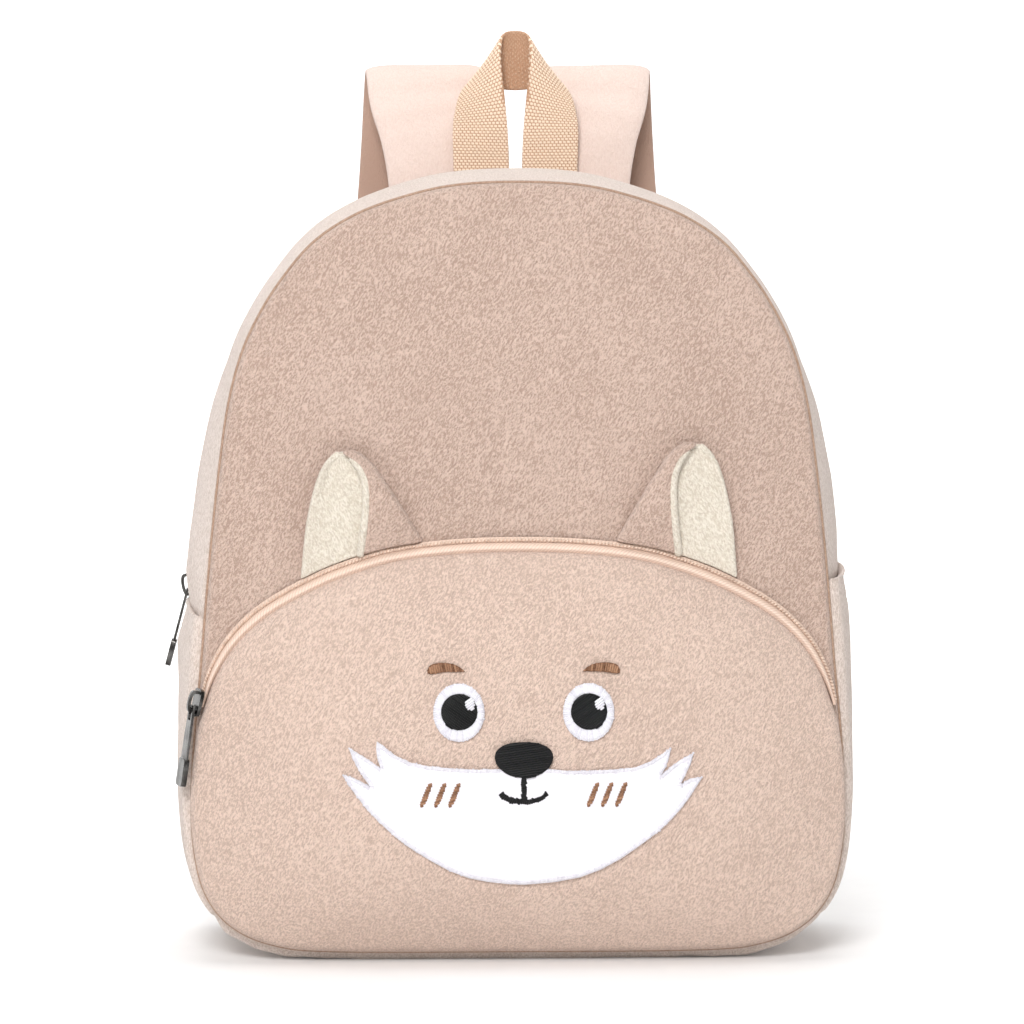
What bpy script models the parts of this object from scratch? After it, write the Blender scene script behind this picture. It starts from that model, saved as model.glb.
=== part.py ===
"""A small child's plush backpack with an animal face, standing on its base.

Metres, +Z up. The front faces -Y, +X is the right of someone looking at the front, and the
origin is the middle of the flat base. Names ending in _left are on the -X side.
"""

import math

import bmesh
import bpy
import numpy as np
from mathutils import Matrix, Vector

MM = 0.001
GAP = 0.3 * MM

# Bag: the seams' planes and the walls
FRONT_SEAM_Y = -42 * MM
BACK_SEAM_Y = 44 * MM
PLUSH = 2.5 * MM
PANEL_CENTRE = (0.0, 140 * MM)
FRONT_CROWN = 6 * MM
BACK_CROWN = 2 * MM
PANEL_CROWN_POWER = 2.4
DOME_RING_POWER = 0.8

# Bag outline at its seams, from the top of the arch down to the middle of the base, in mm
SEAM_ROWS = (
    # half width, height
    (0, 279),
    (22, 277.9),
    (40, 274),
    (58, 267.4),
    (73, 257.6),
    (84.5, 244.2),
    (92.8, 231),
    (99, 217),
    (103.6, 199),
    (106.6, 178),
    (109.3, 154),
    (111.6, 129),
    (113.6, 105),
    (116, 80),
    (117, 58),
    (115.8, 38),
    (111.6, 23.4),
    (102.5, 12.6),
    (88, 6.2),
    (66, 3.8),
    (0, 3.5),
)

# How far the gusset swells past the seams at half its depth, in mm
GUSSET_ROWS = (
    # height, swell
    (0, 6.2),
    (4, 6.2),
    (13, 2.4),
    (30, 0.2),
    (60, -1),
    (96, -0.6),
    (112, 1.4),
    (126, 5),
    (138, 8.2),
    (152, 9),
    (172, 8.6),
    (199, 6.5),
    (214, 4.8),
    (258, 4.4),
    (279, 5.6),
)
ARCH_END_HEIGHT = 114 * MM

# Main zip, in the gusset a little behind half its depth
ZIP_FRONT_Y = -3.7 * MM
ZIP_REAR_Y = 7.7 * MM
ZIP_TAPE = 1.2 * MM
ZIP_EDGE_GAP = 0.6 * MM
ZIP_SINK = 1.8 * MM
COIL_STEP = 0.4 * MM
COIL_WIDTH = 4.4 * MM
COIL_RISE = 1.5 * MM
MAIN_SLIDER_HEIGHT = 132 * MM

# Front pocket: the arc of its zip, then down the bag's own seam
POCKET_ARC_ROWS = (
    # half width, height
    (0, 147.5),
    (22, 146.8),
    (43, 144.3),
    (57, 140.4),
    (71, 134.9),
    (86, 126.8),
    (95, 120),
    (102.3, 112),
    (107.6, 103),
    (111, 94),
    (114.4, 82),
)
POCKET_SEAM_FROM = 14
POCKET_CENTRE = (0.0, 74 * MM)
POCKET_FRONT_Y = -67.5 * MM
POCKET_SEAM_RIM_Y = -47.6 * MM
POCKET_RISE = 5.6 * MM
POCKET_RISES_FROM = 44 * MM
POCKET_CROWN_POWER = 2.8
ARC_FOOT_HEIGHT = 92 * MM
POCKET_SLIDER_HEIGHT = 93 * MM
POCKET_SLIDER_TURN = math.radians(20)
POCKET_SLIDER_LEAN = math.radians(13)
POCKET_SLIDER_OUT = 2.9 * MM
POCKET_SLIDER_OFF = 3.8 * MM

# Pocket zip in section: distance outside the pocket's edge, height off the panel, in mm
POCKET_ZIP_ROWS = (
    # out, off
    (5.8, 1.9),
    (5.5, 1.9),
    (5.1, 3.1),
    (3.8, 3.2),
    (3.3, 2.5),
    (1.3, 5.3),
)
POCKET_TAPE = 0.8 * MM
POCKET_ZIP_TURN = 0.75

# Side pockets: mouth heights, and how far they stand off the seams' outline
SIDE_WALL = 2 * MM
SIDE_FOOT_HEIGHT = 16 * MM
SIDE_MOUTHS = {
    # side: (at the front seam, at half depth, at the back seam, stand-off at half depth)
    "left": (120.5 * MM, 126 * MM, 126 * MM, 8 * MM),
    "right": (135 * MM, 137.8 * MM, 137 * MM, 11.1 * MM),
}
SIDE_POCKET_ROWS = (
    # height, stand-off at half depth in mm
    (16, 5),
    (24, 5.2),
    (38, 5.6),
    (67, 6.4),
    (97, 9),
    (112, 10.3),
)
SIDE_SEAM_STAND = 2.8 * MM
SIDE_BOW_POWER = 0.7

# Ears, folded towards the middle. Rows run from the seam to the tip
EAR_ROWS = (
    # part of the height, outer edge, flap's edge, fold: distances from the middle in mm
    (0, 77.9, 55.8, 35),
    (0.267, 76.7, 54.2, 40),
    (0.417, 75.9, 53.6, 43),
    (0.5625, 74.5, 53.4, 46),
    (0.708, 72.7, 53.8, 49.4),
    (0.833, 70.6, 55.6, 52.2),
    (0.9375, 67.4, 59.2, 56),
    (0.985, 65.4, 62.6, 59.6),
)
EAR_TIPS = {"left": 184.4 * MM, "right": 187.1 * MM}
EAR_SKIN = 1.8 * MM
EAR_LINING = 2.2 * MM
EAR_FOLD_RADIUS = 2.4 * MM
EAR_FLAP_LEAST = 0.3 * MM
EAR_LINING_LEAST = 2 * MM
EAR_LINING_FROM_FOLD = 0.2 * MM
EAR_LEAN = 2 * MM
EAR_LINING_TO = 0.955
EAR_SEAM_OUT = 7 * MM

# Handle of folded webbing: its inner edge and its outer edge, from a foot to the top, in mm
HANDLE_SHIFT = 2.2 * MM
HANDLE_WEBBING = 2 * MM
HANDLE_ROWS = (
    # inner across, inner back, inner height, outer across, outer back, outer height
    (2.4, 48.7, 262, 23.2, 48.7, 262),
    (2.4, 48.7, 285, 23.3, 48.7, 285),
    (3.0, 48.7, 300, 23.6, 49, 300),
    (4.4, 48.7, 315, 22.2, 50.4, 309),
    (5.5, 49, 325, 20.4, 53, 313.5),
    (5.6, 50.5, 332, 17.2, 56, 316),
    (4.0, 53, 336, 11, 57.5, 316),
    (0, 55, 337, 0, 57.5, 314.8),
)

# Padded straps, from the back seam over the fold and down behind the bag, in mm
STRAP_PAD = 7 * MM
STRAP_EDGE = 0.45
STRAP_SHOULDER = (0.38, 0.42)
STRAP_ROWS = (
    # across, back, height, width
    (26, 53.8, 258, 38.5),
    (26.3, 54, 280, 39),
    (28, 57, 298, 41.5),
    (30.6, 62.5, 311.5, 44.4),
    (31.3, 69, 321.6, 46),
    (31.8, 75, 313, 46.5),
    (32.7, 76, 292, 47),
    (34.5, 76, 268, 47),
    (40, 75.5, 230, 45),
    (47, 73, 190, 41),
    (55, 68, 150, 36),
    (64, 60, 112, 30),
)
BACK_WEBBING = 1.2 * MM
BACK_WEBBING_WIDTH = 20 * MM
ANCHOR = (96 * MM, 54 * MM, 24 * MM)
ANCHOR_TAB = (26 * MM, 24 * MM, 2 * MM)
ANCHOR_TAB_CORNER = 3 * MM
ADJUSTER_SIZE = (27 * MM, 25 * MM)
ADJUSTER_MIDDLE = (0.0, 0.25 * MM)
ADJUSTER_CORNER = 2 * MM
ADJUSTER_SLOT = 22.4 * MM
ADJUSTER_SLOT_CORNER = 0.5 * MM
ADJUSTER_BAR = 1.1 * MM
ADJUSTER_BAR_AT = (-8.5 * MM, 0.0, 9 * MM)
ADJUSTER_BELOW_STRAP = 22 * MM
WEBBING_INTO_TAB = 8 * MM
WEBBING_CLEAR = 0.1 * MM
LOOP_BELOW_STRAP = 1.8 * MM
WEBBING_TAIL = (
    # along the adjuster, off the turn round the bar
    (-26 * MM, 1 * MM),
    (-44 * MM, 2 * MM),
)

# Zip sliders and their tabs, the same on both zips
SLIDER_SIZE = (8 * MM, 10 * MM, 1.2 * MM)
SLIDER_CORNER = 2 * MM
BRIDGE_WIDTH = 1.4 * MM
BRIDGE_WIRE = 1.1 * MM
BRIDGE_SPAN = 8.4 * MM
BRIDGE_HEIGHT = 3 * MM
BRIDGE_POWER = 0.4
BRIDGE_SINK = 0.4 * MM
TAB_LENGTH = 29 * MM
TAB_WIDTH = 6 * MM
TAB_HEAD_WIDTH = 5.4 * MM
TAB_THICKNESS = 0.9 * MM
TAB_NECK = (7.6 * MM, 3 * MM)
TAB_SLOT = (2.6 * MM, 4.6 * MM)
TAB_SLOT_CORNER = 0.4 * MM
TAB_GRIP = (6.8 * MM, 10 * MM, 2 * MM)
TAB_GRIP_CORNER = 1.2 * MM
TAB_GRIP_BEYOND = 0.4 * MM
TAB_AXIS_ALONG = -1.6 * MM
TAB_AXIS_OFF = 1.0 * MM
MAIN_TAB_LEAN = math.radians(14.8)
POCKET_TAB_LEAN = math.radians(8)

# Face, as thread and cloth laid on the pocket: places from the face's middle, in mm
FACE_SHIFT = 1 * MM
FACE_CELL = 14 * MM
FACE_STAND = 0.5 * MM
FACE_MERGE = 0.02 * MM
THREAD = 0.8 * MM
EYE_AT = (22.9, 92)
EYE_SIZE = (18.1, 20.5)
PUPIL_RADIUS = 6.4
PUPIL_SHIFT = (0.1, 0.3)
BROW_AT = (27.4, 107.6)
BROW_SIZE = (12.9, 4.2)
BROW_TAPERS = (4, 12)
BROW_HOLLOW = 0.5
NOSE_AT = 75.3
NOSE_SIZE = (20.4, 12.6)
NOSE_POWER = 0.85
NOSE_TOP_WIDE = 0.14
MOUTH_ROWS = (
    # across, height
    (-8.6, 63.2),
    (-6.4, 61.6),
    (-3.4, 60.6),
    (0, 60.2),
    (3.4, 60.6),
    (6.4, 61.6),
    (8.6, 63.2),
)
MOUTH_STROKE = 2.0
PHILTRUM_TOP = 68.2
CHEEK_MARKS_AT = (24.5, 29.5, 34.5)
CHEEK_MARK_HEIGHT = 62.9
CHEEK_MARK_SIZE = (2.0, 7.9)
CHEEK_MARK_LEAN = math.radians(21)
MUZZLE_ROWS = (
    # across, height: the right half, from the middle of the top edge round to the bottom
    (0, 72.2),
    (15, 71.6),
    (31, 72),
    (42, 74.2),
    (52, 80.6),
    (49.6, 70.8),
    (61.2, 78.4),
    (54.8, 65.7),
    (63.8, 69.2),
    (59.5, 62.4),
    (52, 53.6),
    (43, 45.9),
    (33, 39.1),
    (22.5, 33.9),
    (11.5, 31.3),
    (0, 30.4),
)

COLOURS = {
    # finish: (red, green, blue), roughness, metallic
    "plush": ((0.68, 0.53, 0.45), 0.95, 0.0),
    "pale_plush": ((0.78, 0.68, 0.61), 0.95, 0.0),
    "cream_plush": ((0.90, 0.86, 0.75), 0.95, 0.0),
    "webbing": ((0.74, 0.54, 0.38), 0.85, 0.0),
    "zip_tape": ((0.70, 0.56, 0.46), 0.8, 0.0),
    "metal": ((0.42, 0.41, 0.40), 0.3, 1.0),
    "plastic": ((0.80, 0.70, 0.62), 0.5, 0.0),
    "white_thread": ((0.92, 0.90, 0.93), 0.6, 0.0),
    "black_thread": ((0.02, 0.02, 0.02), 0.5, 0.0),
    "brown_thread": ((0.33, 0.14, 0.07), 0.6, 0.0),
}
SIDES = {"left": -1, "right": 1}


def clear_scene():
    for thing in list(bpy.data.objects):
        bpy.data.objects.remove(thing, do_unlink=True)


def collection(name):
    made = bpy.data.collections.new(name)
    bpy.context.scene.collection.children.link(made)
    return made


def material(finish):
    if finish in bpy.data.materials:
        return bpy.data.materials[finish]
    colour, roughness, metallic = COLOURS[finish]
    made = bpy.data.materials.new(finish)
    made.use_nodes = True
    shader = made.node_tree.nodes["Principled BSDF"]
    shader.inputs["Base Color"].default_value = (*colour, 1.0)
    shader.inputs["Roughness"].default_value = roughness
    shader.inputs["Metallic"].default_value = metallic
    made.diffuse_color = (*colour, 1.0)
    return made


def mesh_object(name, points, faces, finish, smooth=True):
    mesh = bpy.data.meshes.new(name)
    mesh.from_pydata([tuple(p) for p in points], [], faces)
    mesh.update()
    if smooth:
        mesh.shade_smooth()
    thing = bpy.data.objects.new(name, mesh)
    thing.data.materials.append(material(finish))
    PARTS.objects.link(thing)
    return thing


def face_outwards(thing):
    """Turns the faces of a closed body outwards."""
    work = bmesh.new()
    work.from_mesh(thing.data)
    bmesh.ops.recalc_face_normals(work, faces=work.faces)
    work.to_mesh(thing.data)
    work.free()


def thicken(thing, thickness, offset=-1.0, even=True):
    """A wall from an open surface. An offset of -1 grows it behind the surface's face."""
    wall = thing.modifiers.new("wall", "SOLIDIFY")
    wall.thickness = thickness
    wall.offset = offset
    wall.use_even_offset = even
    return thing


def smooth_curve(rows, count, ends=None):
    """Catmull-Rom curve through the rows, as count points evenly spaced along it."""
    rows = np.array(rows, float)
    before, after = ends or (2 * rows[0] - rows[1], 2 * rows[-1] - rows[-2])
    knots = np.vstack([before, rows, after])
    fine = np.linspace(0, 1, 24, endpoint=False)[:, None]
    dense = []
    for a, b, c, d in zip(knots, knots[1:], knots[2:], knots[3:]):
        cubic = 3 * b - a - 3 * c + d
        square = 2 * a - 5 * b + 4 * c - d
        dense.append(0.5 * (2 * b + (c - a) * fine + square * fine**2 + cubic * fine**3))
    dense = np.vstack([*dense, rows[-1:]])
    run = np.r_[0, np.cumsum(np.linalg.norm(np.diff(dense[:, :3], axis=0), axis=1))]
    at = np.linspace(0, run[-1], count)
    return np.stack([np.interp(at, run, column) for column in dense.T], axis=1)


def half_curve(rows, count):
    """A half outline that meets its mirror image without a corner at either end."""
    rows = np.array(rows, float)
    flip = np.array([-1.0, 1.0])
    return smooth_curve(rows, count, ends=(rows[1] * flip, rows[-2] * flip))


SEAM_HALF = half_curve(SEAM_ROWS, 400) * MM
ARC_HALF = smooth_curve(POCKET_ARC_ROWS, 200, ends=((-22, 146.8), (116.4, 70))) * MM
POCKET_HALF = half_curve((*POCKET_ARC_ROWS, *SEAM_ROWS[POCKET_SEAM_FROM:]), 400) * MM


def outline_at(part, half=SEAM_HALF):
    """Points and outward normals of an outline. part is 0 at the top, -1 or 1 at the base."""
    part = np.atleast_1d(np.asarray(part, float))
    spread = np.linspace(0, 1, len(half))
    slope = np.gradient(half, spread, axis=0)
    normal = np.stack([-slope[:, 1], slope[:, 0]], axis=1)
    normal /= np.linalg.norm(normal, axis=1)[:, None]
    side = np.where(part < 0, -1.0, 1.0)
    place, facing = [
        np.stack([np.interp(abs(part), spread, grid[:, axis]) for axis in (0, 1)], axis=1)
        for grid in (half, normal)
    ]
    place[:, 0] *= side
    facing[:, 0] *= side
    return place, facing


def part_at_height(height, half=SEAM_HALF):
    """How far down the outline's half a height lies, from 0 to 1."""
    return float(np.interp(-height, -half[:, 1], np.linspace(0, 1, len(half))))


def reach(half, centre, x, z):
    """Distance from an outline's centre as a part of the way to the outline, for each point."""
    ring = half - np.array(centre)
    angle = np.arctan2(ring[:, 0], ring[:, 1])
    radius = np.hypot(ring[:, 0], ring[:, 1])
    dx, dz = abs(x - centre[0]), z - centre[1]
    edge = np.interp(np.arctan2(dx, dz), angle, radius)
    return np.hypot(dx, dz) / edge


def front_panel_y(x, z):
    """Outer face of the front panel: a shallow dome over the seam."""
    part = np.minimum(reach(SEAM_HALF, PANEL_CENTRE, x, z), 1.0)
    rim = FRONT_SEAM_Y - GAP - PLUSH
    return rim - FRONT_CROWN * (1 - part**PANEL_CROWN_POWER)


def back_panel_y(x, z):
    part = np.minimum(reach(SEAM_HALF, PANEL_CENTRE, x, z), 1.0)
    rim = BACK_SEAM_Y + GAP + PLUSH
    return rim + BACK_CROWN * (1 - part**PANEL_CROWN_POWER)


def pocket_rim_y(x, z):
    """Outer face of the pocket's edge: raised on the zip's arc, low on the bag's seam."""
    raised = front_panel_y(x, z) - POCKET_RISE
    blend = np.clip((z - POCKET_RISES_FROM) / (ARC_FOOT_HEIGHT - POCKET_RISES_FROM), 0, 1)
    blend = blend * blend * (3 - 2 * blend)
    return POCKET_SEAM_RIM_Y + blend * (raised - POCKET_SEAM_RIM_Y)


def pocket_y(x, z):
    """Outer face of the front pocket: a full dome from its edge to its front."""
    x, z = np.asarray(x, float), np.asarray(z, float)
    part = np.clip(reach(POCKET_HALF, POCKET_CENTRE, x, z), 1e-6, 1.0)
    edge_x = POCKET_CENTRE[0] + (x - POCKET_CENTRE[0]) / part
    edge_z = POCKET_CENTRE[1] + (z - POCKET_CENTRE[1]) / part
    weight = part**POCKET_CROWN_POWER
    return POCKET_FRONT_Y + weight * (pocket_rim_y(edge_x, edge_z) - POCKET_FRONT_Y)


def grid_faces(rows, columns, ring=False, flip=False):
    """Quads of a grid of points in row order. A ring joins the last column to the first."""
    faces = []
    for i in range(rows - 1):
        for j in range(columns if ring else columns - 1):
            k = (j + 1) % columns
            face = (i * columns + j, i * columns + k, (i + 1) * columns + k, (i + 1) * columns + j)
            faces.append(face[::-1] if flip else face)
    return faces


def grid_object(name, grid, finish, flip=False):
    rows, columns = grid.shape[:2]
    faces = grid_faces(rows, columns, flip=flip)
    return mesh_object(name, grid.reshape(-1, 3), faces, finish)


def dome(name, half, centre, depth, rings, segments, finish, flip):
    """An outline filled with rings round its centre, each point set back by depth(x, z)."""
    ring, _ = outline_at(np.linspace(-1, 1, segments, endpoint=False), half)
    points = [(centre[0], depth(np.array([centre[0]]), np.array([centre[1]]))[0], centre[1])]
    for part in np.linspace(0, 1, rings + 1)[1:] ** DOME_RING_POWER:
        x = centre[0] + part * (ring[:, 0] - centre[0])
        z = centre[1] + part * (ring[:, 1] - centre[1])
        points.extend(zip(x, depth(x, z), z))
    faces = []
    for j in range(segments):
        k = (j + 1) % segments
        faces.append((0, 1 + j, 1 + k) if flip else (0, 1 + k, 1 + j))
    for face in grid_faces(rings, segments, ring=True, flip=flip):
        faces.append(tuple(index + 1 for index in face))
    return mesh_object(name, points, faces, finish)


def gusset_grid(parts, depths, lift=0.0):
    """Surface round the bag's side: the outline at each depth, swollen between the seams."""
    place, facing = outline_at(parts)
    heights, swells = np.array(GUSSET_ROWS, float).T * MM
    swell = np.interp(place[:, 1], heights, swells)
    across = (np.asarray(depths) - FRONT_SEAM_Y) / (BACK_SEAM_Y - FRONT_SEAM_Y)
    profile = 4 * across * (1 - across)
    out = swell[:, None] * profile[None, :] + np.asarray(lift)
    x = place[:, :1] + facing[:, :1] * out
    z = np.maximum(place[:, 1:] + facing[:, 1:] * out, 0.0)
    return np.stack([x, np.broadcast_to(depths, x.shape), z], axis=2)


def build_bag():
    """Front and back panels, the gusset's three parts and the main zip."""
    dome("front_panel", SEAM_HALF, PANEL_CENTRE, front_panel_y, 4, 40, "plush", False)
    thicken(bpy.data.objects["front_panel"], PLUSH)
    dome("back_panel", SEAM_HALF, PANEL_CENTRE, back_panel_y, 3, 40, "pale_plush", True)
    thicken(bpy.data.objects["back_panel"], PLUSH)

    arch_end = part_at_height(ARCH_END_HEIGHT)
    base_from = part_at_height(ARCH_END_HEIGHT - GAP)
    arch = np.linspace(-arch_end, arch_end, 29)
    strips = (
        ("gusset_front", np.linspace(FRONT_SEAM_Y, ZIP_FRONT_Y - ZIP_EDGE_GAP, 3)),
        ("gusset_rear", np.linspace(ZIP_REAR_Y + ZIP_EDGE_GAP, BACK_SEAM_Y, 3)),
    )
    for name, depths in strips:
        thicken(grid_object(name, gusset_grid(arch, depths), "pale_plush", flip=True), PLUSH)

    middle = (ZIP_FRONT_Y + ZIP_REAR_Y) / 2
    half_coil = COIL_WIDTH / 2
    depths = (
        ZIP_FRONT_Y,
        middle - half_coil - COIL_STEP,
        middle - half_coil,
        middle + half_coil,
        middle + half_coil + COIL_STEP,
        ZIP_REAR_Y,
    )
    raised = np.array((0, 0, 1, 1, 0, 0)) * COIL_RISE - ZIP_SINK
    grid = gusset_grid(arch, depths, raised)
    thicken(grid_object("main_zip", grid, "zip_tape", flip=True), ZIP_TAPE)

    down = np.linspace(base_from, 1, 17)
    base = np.r_[-down, down[-2::-1]]
    depths = np.linspace(FRONT_SEAM_Y, BACK_SEAM_Y, 6)
    thicken(grid_object("gusset_base", gusset_grid(base, depths), "pale_plush"), PLUSH)


def zip_width(part):
    """Seen width of the pocket's zip, which turns on edge towards its ends at -1 and 1."""
    return 1 - POCKET_ZIP_TURN * abs(part) ** 8


def build_front_pocket():
    """The pocket's domed shell, and the zip along its arc."""
    dome("front_pocket", POCKET_HALF, POCKET_CENTRE, pocket_y, 6, 44, "plush", False)
    thicken(bpy.data.objects["front_pocket"], PLUSH)

    foot = part_at_height(ARC_FOOT_HEIGHT, ARC_HALF)
    parts = np.linspace(-foot, foot, 27)
    place, facing = outline_at(parts, ARC_HALF)
    inner = POCKET_ZIP_ROWS[-1][0] * MM
    grid = []
    for out, off in np.array(POCKET_ZIP_ROWS) * MM:
        beyond = inner + (out - inner) * zip_width(parts / foot)
        x = place[:, 0] + facing[:, 0] * beyond
        z = place[:, 1] + facing[:, 1] * beyond
        grid.append(np.stack([x, front_panel_y(x, z) - off, z], axis=1))
    zipped = grid_object("pocket_zip", np.array(grid), "zip_tape", flip=True)
    thicken(zipped, POCKET_TAPE, even=False)


def build_side_pocket(name, side):
    """A wall sewn in both seams, standing off the gusset and open at its mouth."""
    sign = SIDES[side]
    mouth_front, mouth_middle, mouth_back, mouth_stand = SIDE_MOUTHS[side]
    heights, stands = np.array(SIDE_POCKET_ROWS, float).T * MM
    heights = np.append(heights, mouth_middle)
    stands = np.append(stands, mouth_stand)
    foot = part_at_height(SIDE_FOOT_HEIGHT)
    depths = np.linspace(FRONT_SEAM_Y + GAP, BACK_SEAM_Y - GAP, 8)
    across = (depths - depths[0]) / (depths[-1] - depths[0])
    mouth = np.interp(across, (0, 0.5, 1), (mouth_front, mouth_middle, mouth_back))
    profile = (4 * across * (1 - across)) ** SIDE_BOW_POWER
    grid = []
    for depth, bow, top in zip(depths, profile, mouth):
        place, facing = outline_at(np.linspace(part_at_height(top), foot, 13) * sign)
        stand = np.interp(place[:, 1], heights, stands)
        out = SIDE_SEAM_STAND + (stand - SIDE_SEAM_STAND) * bow
        x = place[:, 0] + facing[:, 0] * out
        z = place[:, 1] + facing[:, 1] * out
        grid.append(np.stack([x, np.full_like(x, depth), z], axis=1))
    grid = np.array(grid)
    thicken(grid_object(name, grid, "pale_plush", flip=sign < 0), SIDE_WALL)


def ear_seam_height(x):
    """Height of the seam that an ear is sewn into, outside the pocket's zip."""
    place, facing = outline_at(np.linspace(0, 1, 200), ARC_HALF)
    seam = place + facing * EAR_SEAM_OUT
    return np.interp(abs(x), seam[:, 0], seam[:, 1])


def ear_point(across, part, off, side):
    """A point of an ear: across from the middle, part of the way up, off the front panel."""
    foot = ear_seam_height(across)
    z = foot + (EAR_TIPS[side] - foot) * part
    x = across * SIDES[side]
    lean = EAR_LEAN * part
    y = front_panel_y(np.array([x]), np.array([z]))[0] - off - lean
    return x, y, z


def build_ear(side):
    """The ear's skin goes up its back and folds forward; its lining lies inside the fold."""
    flip = SIDES[side] < 0
    back = GAP + EAR_SKIN / 2
    skin = []
    lining = []
    lining_off = GAP + EAR_SKIN + GAP + EAR_LINING / 2
    for part, outer, flap, fold in EAR_ROWS:
        outer, flap, fold = outer * MM, flap * MM, fold * MM
        centre = fold + EAR_FOLD_RADIUS
        turn = np.linspace(0, math.pi, 6)
        section = [(outer, back), ((2 * outer + centre) / 3, back), ((outer + 2 * centre) / 3, back)]
        for angle in turn:
            bend = EAR_FOLD_RADIUS * math.sin(angle)
            section.append((centre - bend, back + EAR_FOLD_RADIUS * (1 - math.cos(angle))))
        section.append((max((flap + centre) / 2, centre + EAR_FLAP_LEAST), back + 2 * EAR_FOLD_RADIUS))
        section.append((max(flap, centre + 2 * EAR_FLAP_LEAST), back + 2 * EAR_FOLD_RADIUS))
        skin.append([ear_point(across, part, off, side) for across, off in section])
        inner = min(centre + EAR_LINING_FROM_FOLD, outer - EAR_LINING_LEAST)
        spread = np.linspace(outer, inner, 6)
        lining_part = min(part, EAR_LINING_TO)
        lining.append([ear_point(across, lining_part, lining_off, side) for across in spread])
    thicken(grid_object(f"ear_{side}", np.array(skin), "plush", flip=flip), EAR_SKIN, 0.0)
    name = f"ear_{side}_lining"
    thicken(grid_object(name, np.array(lining), "cream_plush", flip=flip), EAR_LINING, 0.0)


def build_handle():
    """A strip of webbing whose inner edge makes the small top loop and outer edge the large."""
    rows = np.array(HANDLE_ROWS, float)
    mirrored = rows[-2::-1] * np.array((-1, 1, 1, -1, 1, 1))
    path = smooth_curve(np.vstack([rows, mirrored]), 41) * MM
    path[:, [0, 3]] += HANDLE_SHIFT
    inner, outer = path[:, :3], path[:, 3:]
    grid = np.array([inner + (outer - inner) * part for part in np.linspace(0, 1, 3)])
    thicken(grid_object("handle", grid, "webbing"), HANDLE_WEBBING, 0.0)


def tube_faces(sections, around):
    """Side quads and end caps of a body lofted through rings of points."""
    faces = grid_faces(sections, around, ring=True)
    faces.append(tuple(range(around)))
    faces.append(tuple((sections - 1) * around + j for j in range(around)))
    return faces


def band(name, path, across, width, thickness, finish, edge=1.0):
    """A padded band along a path. edge is the thickness at its sides as a part of the middle's."""
    path = np.asarray(path, float)
    width = np.broadcast_to(width, len(path))
    along = np.gradient(path, axis=0)
    along /= np.linalg.norm(along, axis=1)[:, None]
    across = np.array(across) - along * (along @ np.array(across))[:, None]
    across /= np.linalg.norm(across, axis=1)[:, None]
    off = np.cross(along, across)
    if edge < 1.0:
        u, v = STRAP_SHOULDER
        upper = ((-0.5, edge / 2), (-u, v), (0, 0.5), (u, v), (0.5, edge / 2))
    else:
        upper = ((-0.5, 0.5), (0.5, 0.5))
    section = upper + tuple((u, -v) for u, v in reversed(upper))
    rings = [
        path + across * (u * width)[:, None] + off * (v * thickness) for u, v in section
    ]
    points = np.stack(rings, axis=1).reshape(-1, 3)
    thing = mesh_object(name, points, tube_faces(len(path), len(section)), finish, edge < 1.0)
    face_outwards(thing)
    return thing


def frame_matrix(origin, across, along):
    """A placing matrix from an origin and two directions: local X across, local Y along."""
    along = Vector(along).normalized()
    across = Vector(across)
    across = (across - along * across.dot(along)).normalized()
    off = across.cross(along)
    placed = Matrix((across, along, off)).transposed().to_4x4()
    placed.translation = Vector(origin)
    return placed


def flat_solid(name, outlines, thickness, finish):
    """A plate from a closed outline, with any further outlines cut through it as holes."""
    curve = bpy.data.curves.new(name, "CURVE")
    curve.dimensions = "2D"
    curve.fill_mode = "BOTH"
    curve.extrude = thickness / 2
    for outline in outlines:
        spline = curve.splines.new("POLY")
        spline.points.add(len(outline) - 1)
        for point, (x, y) in zip(spline.points, outline):
            point.co = (x, y, 0.0, 1.0)
        spline.use_cyclic_u = True
    drawn = bpy.data.objects.new(name, curve)
    PARTS.objects.link(drawn)
    bpy.context.view_layer.update()
    evaluated = drawn.evaluated_get(bpy.context.evaluated_depsgraph_get())
    mesh = bpy.data.meshes.new_from_object(evaluated)
    bpy.data.objects.remove(drawn, do_unlink=True)
    bpy.data.curves.remove(curve)
    work = bmesh.new()
    work.from_mesh(mesh)
    bmesh.ops.remove_doubles(work, verts=work.verts, dist=0.01 * MM)
    bmesh.ops.recalc_face_normals(work, faces=work.faces)
    work.to_mesh(mesh)
    work.free()
    mesh.materials.clear()
    mesh.materials.append(material(finish))
    thing = bpy.data.objects.new(name, mesh)
    PARTS.objects.link(thing)
    return thing


def rounded_box(width, height, radius, centre=(0.0, 0.0), steps=3):
    """Corner-rounded rectangle, anticlockwise."""
    outline = []
    corners = ((1, 1, 0), (-1, 1, 90), (-1, -1, 180), (1, -1, 270))
    for sx, sy, start in corners:
        cx = centre[0] + sx * (width / 2 - radius)
        cy = centre[1] + sy * (height / 2 - radius)
        for angle in np.radians(np.linspace(start, start + 90, steps)):
            outline.append((cx + radius * math.cos(angle), cy + radius * math.sin(angle)))
    return outline


def join_bodies(body, tool):
    """Fuses the tool into the body and takes the tool away."""
    union = body.modifiers.new("join", "BOOLEAN")
    union.operation = "UNION"
    union.solver = "EXACT"
    union.object = tool
    bpy.context.view_layer.update()
    evaluated = body.evaluated_get(bpy.context.evaluated_depsgraph_get())
    mesh = bpy.data.meshes.new_from_object(evaluated)
    body.modifiers.clear()
    body.data = mesh
    bpy.data.objects.remove(tool, do_unlink=True)


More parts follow.
